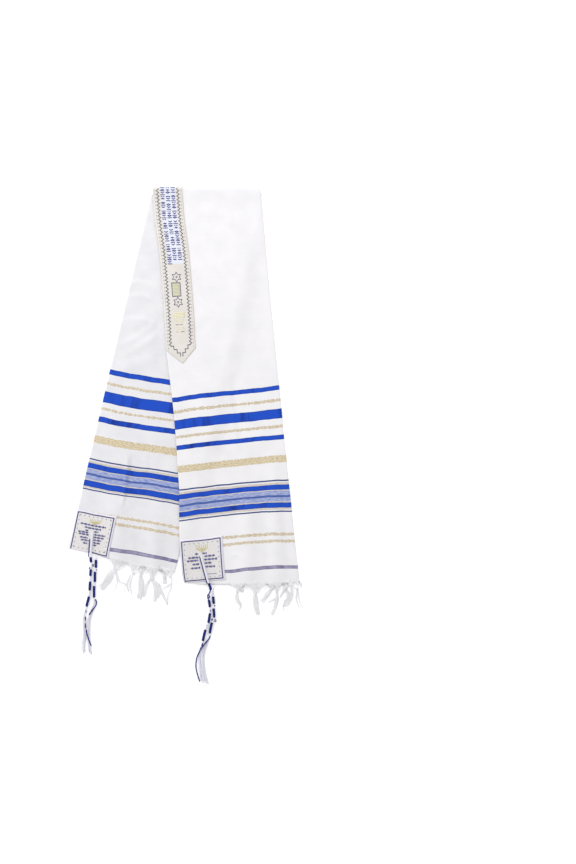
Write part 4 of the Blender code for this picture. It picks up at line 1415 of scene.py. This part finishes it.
def build_band_ornament(materials):
    motifs = []
    for from_middle, groups, first in MOTIF_ROWS:
        motifs += motif_row(BAND_MIDDLE + from_middle, groups, first)
    stars = []
    for along, across in STARS:
        stars.append((1.3, star_outline(along, across, 10.0)))
        stars.append((1.0, lozenge(along, across, 3.4, 3.4)))
    stars.append((1.5, spaced_path(PANEL, 5)))
    olive = []
    for i in range(9):
        along = 195.2 + i * 2.9
        olive.append((2.3, spaced_path([(along, 21.5), (along, 36.5)], 4)))
    straw = []
    for width, along, near, far in STRAW_LINES:
        straw.append((width, spaced_path([(along, near), (along, far)], 4)))
    for name, strokes, thread, rise in (
        ("neckband_border", border_strokes(), "grey thread", THREAD_RISE),
        ("neckband_motifs", motifs, "lilac thread", THREAD_RISE),
        ("neckband_stars", stars, "frame thread", THREAD_RISE),
        ("neckband_olive_panel", olive, "olive thread", FLAT_THREAD_RISE),
        ("neckband_straw_panel", straw, "straw thread", FLAT_THREAD_RISE),
        ("neckband_dashes", DASHES, "grey thread", MARK_RISE),
    ):
        ornament(name, FRONT_HALF, strokes, materials[thread], rise)


def candelabrum(along, across, wide, tall):
    """A seven-branched candelabrum: nested arcs on a stem, with a foot."""
    strokes = []
    crown, spring = along - tall / 2, along - tall * 0.12
    for reach in (1.0, 0.68, 0.36):
        arc = [(crown, across - wide / 2 * reach)]
        for i in range(11):
            turn = math.pi * i / 10
            drop = tall * 0.45 * reach * math.sin(turn)
            arc.append((spring + drop, across - wide / 2 * reach * math.cos(turn)))
        arc.append((crown, across + wide / 2 * reach))
        strokes.append((1.7, arc))
    foot = along + tall / 2
    strokes.append((1.3, [(crown, across), (foot, across)]))
    strokes.append((1.3, [(foot, across - wide * 0.14), (foot, across + wide * 0.14)]))
    return strokes


def row_of_marks(frame, down, start, end, height):
    """A line of small lozenges and bars between two shares of a frame's width."""
    strokes = []
    step = MARK_STEP / (frame[1][1] - frame[0][1])
    for i in range(round((end - start) / step)):
        along, across = on_quad(frame, start + (i + 0.5) * step, down)
        if i % 3 == 1:
            strokes.append((1.4, lozenge(along, across, height, MARK_STEP * 0.8)))
        else:
            tall = height * (1.0 if i % 2 else 0.7)
            strokes.append((1.85, [(along - tall / 2, across), (along + tall / 2, across)]))
    return strokes


def mark_strokes(half):
    """Rows of marks with dots round them and, on the front's patch, a plain line."""
    frame = half.patch.frame
    strokes = []
    for down, start, end in PATCH_ROWS[half.name]:
        strokes += row_of_marks(frame, down, start, end, half.patch.mark_height)
    for i in range(8):
        share = (i + 0.7) / 8.4
        for right, down in ((0.06, share), (0.94, share), (share, 0.065), (share, 0.93)):
            along, across = on_quad(frame, right, down)
            strokes.append((1.7, [(along - 0.8, across), (along + 0.8, across)]))
    if half is FRONT_HALF:
        line = [on_quad(frame, 0.611, 0.847), on_quad(frame, 0.85, 0.847)]
        strokes.append((1.0, spaced_path(line, 5)))
    return strokes


def build_patch_ornament(half, materials):
    frame = half.patch.frame
    corners = frame + frame[:1]
    if half is REAR_HALF:
        # The foot of this frame is turned under up to its middle.
        corners = [on_quad(frame, 0.5, 1), frame[2], frame[1], frame[0], frame[3]]
    candles = candelabrum(*on_quad(frame, 0.51, 0.185), *half.patch.candelabrum)
    for name, strokes, thread, rise in (
        ("frame", [(2.5, spaced_path(corners, 6))], "frame thread", THREAD_RISE),
        ("motifs", mark_strokes(half), "lilac thread", MARK_RISE),
        ("candelabrum", candles, "gold thread", THREAD_RISE),
    ):
        name = f"{half.name}_patch_{name}"
        ornament(name, half, strokes, materials[thread], rise)


# Yarn.


def frames_along(points):
    """A side and an up direction at each point, carried along without twisting."""
    last = len(points) - 1
    made = []
    side = None
    for i in range(last + 1):
        heading = (points[min(i + 1, last)] - points[max(i - 1, 0)]).normalized()
        if side is None:
            side = heading.cross(Vector((0, 0, 1)))
            if side.length < 0.1:
                side = heading.cross(Vector((1, 0, 0)))
        side = (side - heading * side.dot(heading)).normalized()
        made.append((side, side.cross(heading)))
    return made


def add_rings(mesh, rings, slot=0):
    """A closed tube through rings of points, each with the same count."""
    made = [[mesh.verts.new(point) for point in ring] for ring in rings]
    count = len(made[0])
    faces = [mesh.faces.new(made[0][::-1]), mesh.faces.new(made[-1])]
    for near, far in zip(made, made[1:]):
        for k in range(count):
            m = (k + 1) % count
            faces.append(mesh.faces.new((near[k], near[m], far[m], far[k])))
    for face in faces:
        face.material_index = slot


def add_yarn(mesh, points, radius, sides=5, taper=0.0, slot=0):
    """A closed round yarn through points. The taper is the share lost at its far end."""
    last = len(points) - 1
    rings = []
    for i, (point, (side, up)) in enumerate(zip(points, frames_along(points))):
        near_end = 0.75 if i in (0, last) else 1.0
        reach = radius * near_end * (1 - taper * i / last)
        turns = [2 * math.pi * k / sides for k in range(sides)]
        rings.append([point + (side * math.cos(t) + up * math.sin(t)) * reach for t in turns])
    add_rings(mesh, rings, slot)


def resample(points, distances):
    """Points at the given distances along a polyline."""
    found = []
    for distance in distances:
        left = distance
        for start, end in zip(points, points[1:]):
            span = (end - start).length
            if left <= span or end is points[-1]:
                found.append(start + (end - start) * min(left / max(span, 1e-9), 1.0))
                break
            left -= span
    return found


def run_length(points):
    return sum((b - a).length for a, b in zip(points, points[1:]))


def hem_point(half, x):
    """The hem of a half at an x, found by halving."""
    row = row_at(half, half.sections[-1].along)
    low, high = 0.0, row.width
    for _ in range(30):
        middle = (low + high) / 2
        if on_row(row, middle).x < x:
            low = middle
        else:
            high = middle
    return row, low


def add_tail(mesh, width, narrowing, route, start_height):
    """A bundle of loosely twisted warp ends that runs along a plan route."""
    curve = through([Vector((x, y, 0)) for x, y in route], 8)
    length = run_length(curve)
    count = max(2, round(width * TAIL_YARNS_PER_MM))
    stations = max(5, round(length / 3.5))
    for n in range(count):
        lane = (n + 0.5) / count * 2 - 1
        trim = 1 - 0.13 * random.random()
        phase = random.uniform(0, 2 * math.pi)
        centres = resample(curve, [length * trim * k / stations for k in range(stations + 1)])
        points = []
        for k, (centre, (side, _)) in enumerate(zip(centres, frames_along(centres))):
            share = k / stations
            spread = 0.4 + 0.6 * smooth(share / 0.35)
            spread *= 1 - narrowing * smooth((share - 0.5) / 0.5)
            off = lane * width / 2 * spread + 0.4 * math.sin(phase + 6 * share)
            height = 0.95 + 0.7 * spread * (1 - lane * lane) + 0.3 * math.sin(phase + 4 * share)
            height += (start_height - height) * (1 - smooth(share / 0.25))
            points.append(centre + side * off + Vector((0, 0, height)))
        add_yarn(mesh, points, TAIL_RADIUS, taper=0.3)


def round_turn(centre, across, up):
    """Points once round a centre and back to the first."""
    turns = [2 * math.pi * k / RING_STEPS for k in range(RING_STEPS + 1)]
    return [centre + across * math.cos(turn) + up * math.sin(turn) for turn in turns]


def add_ring(mesh, centre, heading, side, radius, tilt, thickness):
    """One turn of yarn round a strand that runs along the heading."""
    across = side * radius + heading * tilt
    add_yarn(mesh, round_turn(centre, across, Vector((0, 0, radius * 0.85))), thickness)


def hem_edge(half, upper, x, drop=0.0):
    """A point at the hem of the upper or the under layer, or that far below it."""
    row, across = hem_point(half, x)
    point = on_row(row, across)
    height = half.top(row, across) + 0.15 if upper else half.base(row, across) + 0.6
    return Vector((point.x, point.y - drop, height))


def add_gather(mesh, half, upper, gather):
    """Warp ends that leave the hem side by side, close up and are knotted together."""
    down = Vector((0, -1, 0))
    knot = Vector((gather.knot_x, gather.knot_y, 1.9 if upper else 1.5))

    def web(share, down_share, rise=0.0):
        """A point of the gathered ends, at a share across and a share of the way to the
        knot. They start on top of the cloth, above its hem."""
        root = hem_edge(half, upper, gather.root + share * gather.width / 2, -WEB_START)
        point = root.lerp(knot, down_share)
        closing = 0.4 * down_share + 0.6 * smooth(down_share)
        point.x = root.x + (knot.x + share * 1.8 - root.x) * closing
        aside = share - gather.gap
        opening = math.sin(math.pi * min(max((down_share - 0.3) / 0.66, 0.0), 1.0))
        point.x += math.copysign(gather.hole, aside) * bell(aside / 0.6) * opening
        point.z = root.z + (knot.z + 0.9 - root.z) * smooth(down_share) + rise
        return point

    for start, end in ((-1.0, gather.gap - 0.01), (gather.gap + 0.01, 1.0)):
        rings = []
        for share_down in even_steps(0, 1, 1 / 12):
            sink = Vector((0, 0, 0.2 + 1.2 * share_down))
            above = [web(share, share_down) for share in even_steps(start, end, 0.25)]
            rings.append(above + [point - sink for point in above[::-1]])
        add_rings(mesh, rings)
    count = round(gather.width / STRAND_PITCH)
    for n in range(count):
        share = (n + 0.5) / count * 2 - 1
        first = random.uniform(-0.2, 0.1)
        points = [
            web(share, first + (1 - first) * k / 9, random.uniform(-0.05, 0.15))
            for k in range(10)
        ]
        add_yarn(mesh, points, STRAND_RADIUS, 4)
    add_yarn(mesh, [knot - down * 2.5, knot, knot + down * 2.5], 1.4, 7)
    for n in range(3):
        centre = knot + down * (1.7 * n - 1.7)
        centre.z = 2.3
        add_ring(mesh, centre, down, Vector((1, 0, 0)), 1.8, 0.6 if n % 2 else -0.6, 0.7)


def add_bristles(mesh, half, start):
    """Short cut ends that stick out all along the hem."""
    for n in range(round((half.sections[-1].right_x - start) / BRISTLE_PITCH)):
        x = start + BRISTLE_PITCH * n
        root = hem_edge(half, True, x, random.uniform(-6.0, -3.0))
        tip = hem_edge(half, True, x + random.uniform(-1, 1), random.uniform(0.8, 3.4))
        tip.z -= random.uniform(0.4, 1.4)
        add_yarn(mesh, through([root, root.lerp(tip, 0.6), tip], 2), 0.42, 4, 0.4)


def add_crossing_ends(mesh, half, upper, gathers):
    """Loose ends that cross from one gather to the next."""
    for one, other in zip(gathers, gathers[1:]):
        if other.root - one.root > CROSSING_REACH:
            continue
        for n in range(3):
            root = hem_edge(half, upper, one.root + (other.root - one.root) * random.random())
            end = other if n % 2 else one
            target = Vector((end.knot_x, end.knot_y, 1.2))
            middle = (root + target) / 2 + Vector((0, -2 - 2 * random.random(), -0.2))
            middle.z = max(middle.z, 0.7)
            add_yarn(mesh, through([root, middle, target], 5), 0.35, 4)


def build_fringe(hem, materials):
    """Warp ends below one hem, in gathers with knots and loose tails."""
    name, layer = hem.split("_")
    half = FRONT_HALF if name == "front" else REAR_HALF
    upper = layer == "upper"
    mesh = bmesh.new()
    for gather in GATHERS[hem]:
        add_gather(mesh, half, upper, gather)
    for width, narrowing, route in TAILS[hem]:
        add_tail(mesh, width * TAIL_FULLNESS, narrowing, route, 1.7 if upper else 1.3)
    if upper:
        add_bristles(mesh, half, HEM_FROM[name])
    add_crossing_ends(mesh, half, upper, GATHERS[hem])
    piece_of(
        f"{hem}_warp_ends", mesh, [materials["yarn"]], (f"fringe_{hem}",)
    )


def helix(curve, start, end, radius, pitch, phase=0.0, steps=12, flat=1.0):
    """Points that wind round a curve between two distances along it."""
    count = max(2, round((end - start) / pitch * steps))
    distances = [start + (end - start) * k / count for k in range(count + 1)]
    centres = resample(curve, distances)
    points = []
    for centre, distance, (side, up) in zip(centres, distances, frames_along(centres)):
        turn = 2 * math.pi * (distance - start) / pitch + phase
        off = side * math.cos(turn) + up * (math.sin(turn) * flat)
        points.append(centre + off * radius)
    return points


# The second material of a tassel.
NAVY = 1


def add_cord(mesh, curve, start, end, front):
    """The doubled white cord from the eyelet, with one navy strand on its left."""
    for n in range(3):
        phase = 2 * math.pi * n / 3
        add_yarn(mesh, helix(curve, start, end, 1.35, 11.0, phase, 8, 0.5), 1.08, 6)
    shift = Vector((-3.3, -0.9, -0.4)) if front else Vector((-4.3, 0.2, -0.6))
    first = 0 if front else 4
    stops = [start + (end - start) * k / 14 for k in range(first, 15)]
    add_yarn(mesh, [point + shift for point in resample(curve, stops)], 0.95, 6, slot=NAVY)


def add_winding(mesh, curve, start, end):
    """Close turns of the navy thread over a core."""
    core = resample(curve, [start + (end - start) * k / 6 for k in range(7)])
    add_yarn(mesh, core, 2.15, 8, slot=NAVY)
    add_yarn(mesh, helix(curve, start + 0.3, end - 0.3, 2.3, 1.25), 0.66, 5, slot=NAVY)


def add_knot(mesh, curve, start, end):
    """White double knots: crossed plies under a few tilted turns."""
    core = resample(curve, [start + (end - start) * k / 4 for k in range(5)])
    for n in range(3):
        phase = 2 * math.pi * n / 3
        add_yarn(mesh, helix(curve, start - 0.5, end + 0.5, 1.0, 8.0, phase, 7), 1.0, 6)
    heading = (core[3] - core[1]).normalized()
    side = Vector((-heading.y, heading.x, 0)).normalized()
    for n, offset in enumerate((-3.2, -1.1, 1.1, 3.2)):
        if abs(offset) <= (end - start) / 2 - 1:
            tilt = 1.1 if n % 2 else -1.1
            add_ring(mesh, core[2] + heading * offset, heading, side, 2.1, tilt, 0.95)


def add_free_ends(mesh, name, stem_end):
    """Seven white ends below the last knot, three of them on top of the other four."""
    base = through([stem_end] + [Vector((x, y, 2.0)) for x, y in THREAD_ROUTES[name]], 8)
    for i, trim in enumerate(THREAD_TRIM):
        upper = i >= 4
        place = i - 5 if upper else i - 1.5
        flare = random.uniform(-2.6, 2.6)
        reach = run_length(base) * trim
        centres = resample(base, [reach * k / THREAD_STEPS for k in range(THREAD_STEPS + 1)])
        points = []
        for k, (centre, (side, _)) in enumerate(zip(centres, frames_along(centres))):
            share = k / THREAD_STEPS
            spread = 0.7 + 1.5 * smooth(share / 0.22) + 0.5 * smooth((share - 0.8) / 0.2)
            wave = 0.5 * math.sin(7 * share + 2.1 * i) + flare * smooth((share - 0.7) / 0.3)
            moved = centre + side * (place * spread + wave)
            rest = 2.5 if upper else 1.05
            moved.z = rest + (centre.z - rest) * (1 - smooth(share / 0.18))
            points.append(moved)
        add_yarn(mesh, points, 1.0, 6, 0.25)


def build_tassel(name, stretches, materials):
    """Wound and double-knotted corner threads: white cords, blue windings, eight ends."""
    curve = through([Vector(spot) for spot in STEM_ROUTES[name]], 8)
    scale = run_length(curve) / sum(length for _, length in stretches)
    mesh = bmesh.new()
    start = 0.0
    for kind, length in stretches:
        end = start + length * scale
        if kind == "cord":
            add_cord(mesh, curve, start, end, name.startswith("front"))
        elif kind == "winding":
            add_winding(mesh, curve, start, end)
        else:
            add_knot(mesh, curve, start, end)
        start = end
    for x, y, height, radius in NAVY_LOOPS[name]:
        across, up = Vector((radius, 0, 0.3 * radius)), Vector((0, radius, 0))
        add_yarn(mesh, round_turn(Vector((x, y, height)), across, up), 0.95, 6, slot=NAVY)
    add_free_ends(mesh, name, curve[-1])
    for stretch in NAVY_THREADS[name]:
        add_yarn(mesh, through([Vector(p) for p in stretch], 6), NAVY_RADIUS, 6, slot=NAVY)
    piece_of(
        f"{name}_tassel",
        mesh,
        [materials["tassel yarn"], materials["navy yarn"]],
        (f"tassel_{name}",),
    )


def lay_floor(materials):
    """A white table, lit from below and wide enough for every view."""
    bpy.ops.object.select_all(action="DESELECT")
    bpy.ops.mesh.primitive_plane_add(size=40, location=(0, 0, 0))
    floor = bpy.context.active_object
    floor.name = "light_table"
    for vert in floor.data.vertices:
        vert.co.z = -FLOOR_DROP * MM
    floor.data.materials.append(materials["floor"])


def main():
    place_camera()
    place_lights()
    materials = make_materials()
    lay_floor(materials)
    build_half(REAR_HALF, "rear white, painted shade", materials, "shawl_rear")
    build_half(FRONT_HALF, "white", materials, "shawl_front")
    band = build_neckband(materials)
    build_band_ornament(materials)
    for half in (REAR_HALF, FRONT_HALF):
        patch = build_patch(half, materials)
        build_patch_ornament(half, materials)
    for hem in ("front_upper", "front_lower", "rear_upper", "rear_lower"):
        build_fringe(hem, materials)
    for name, stretches in STEMS.items():
        build_tassel(name, stretches, materials)


main()
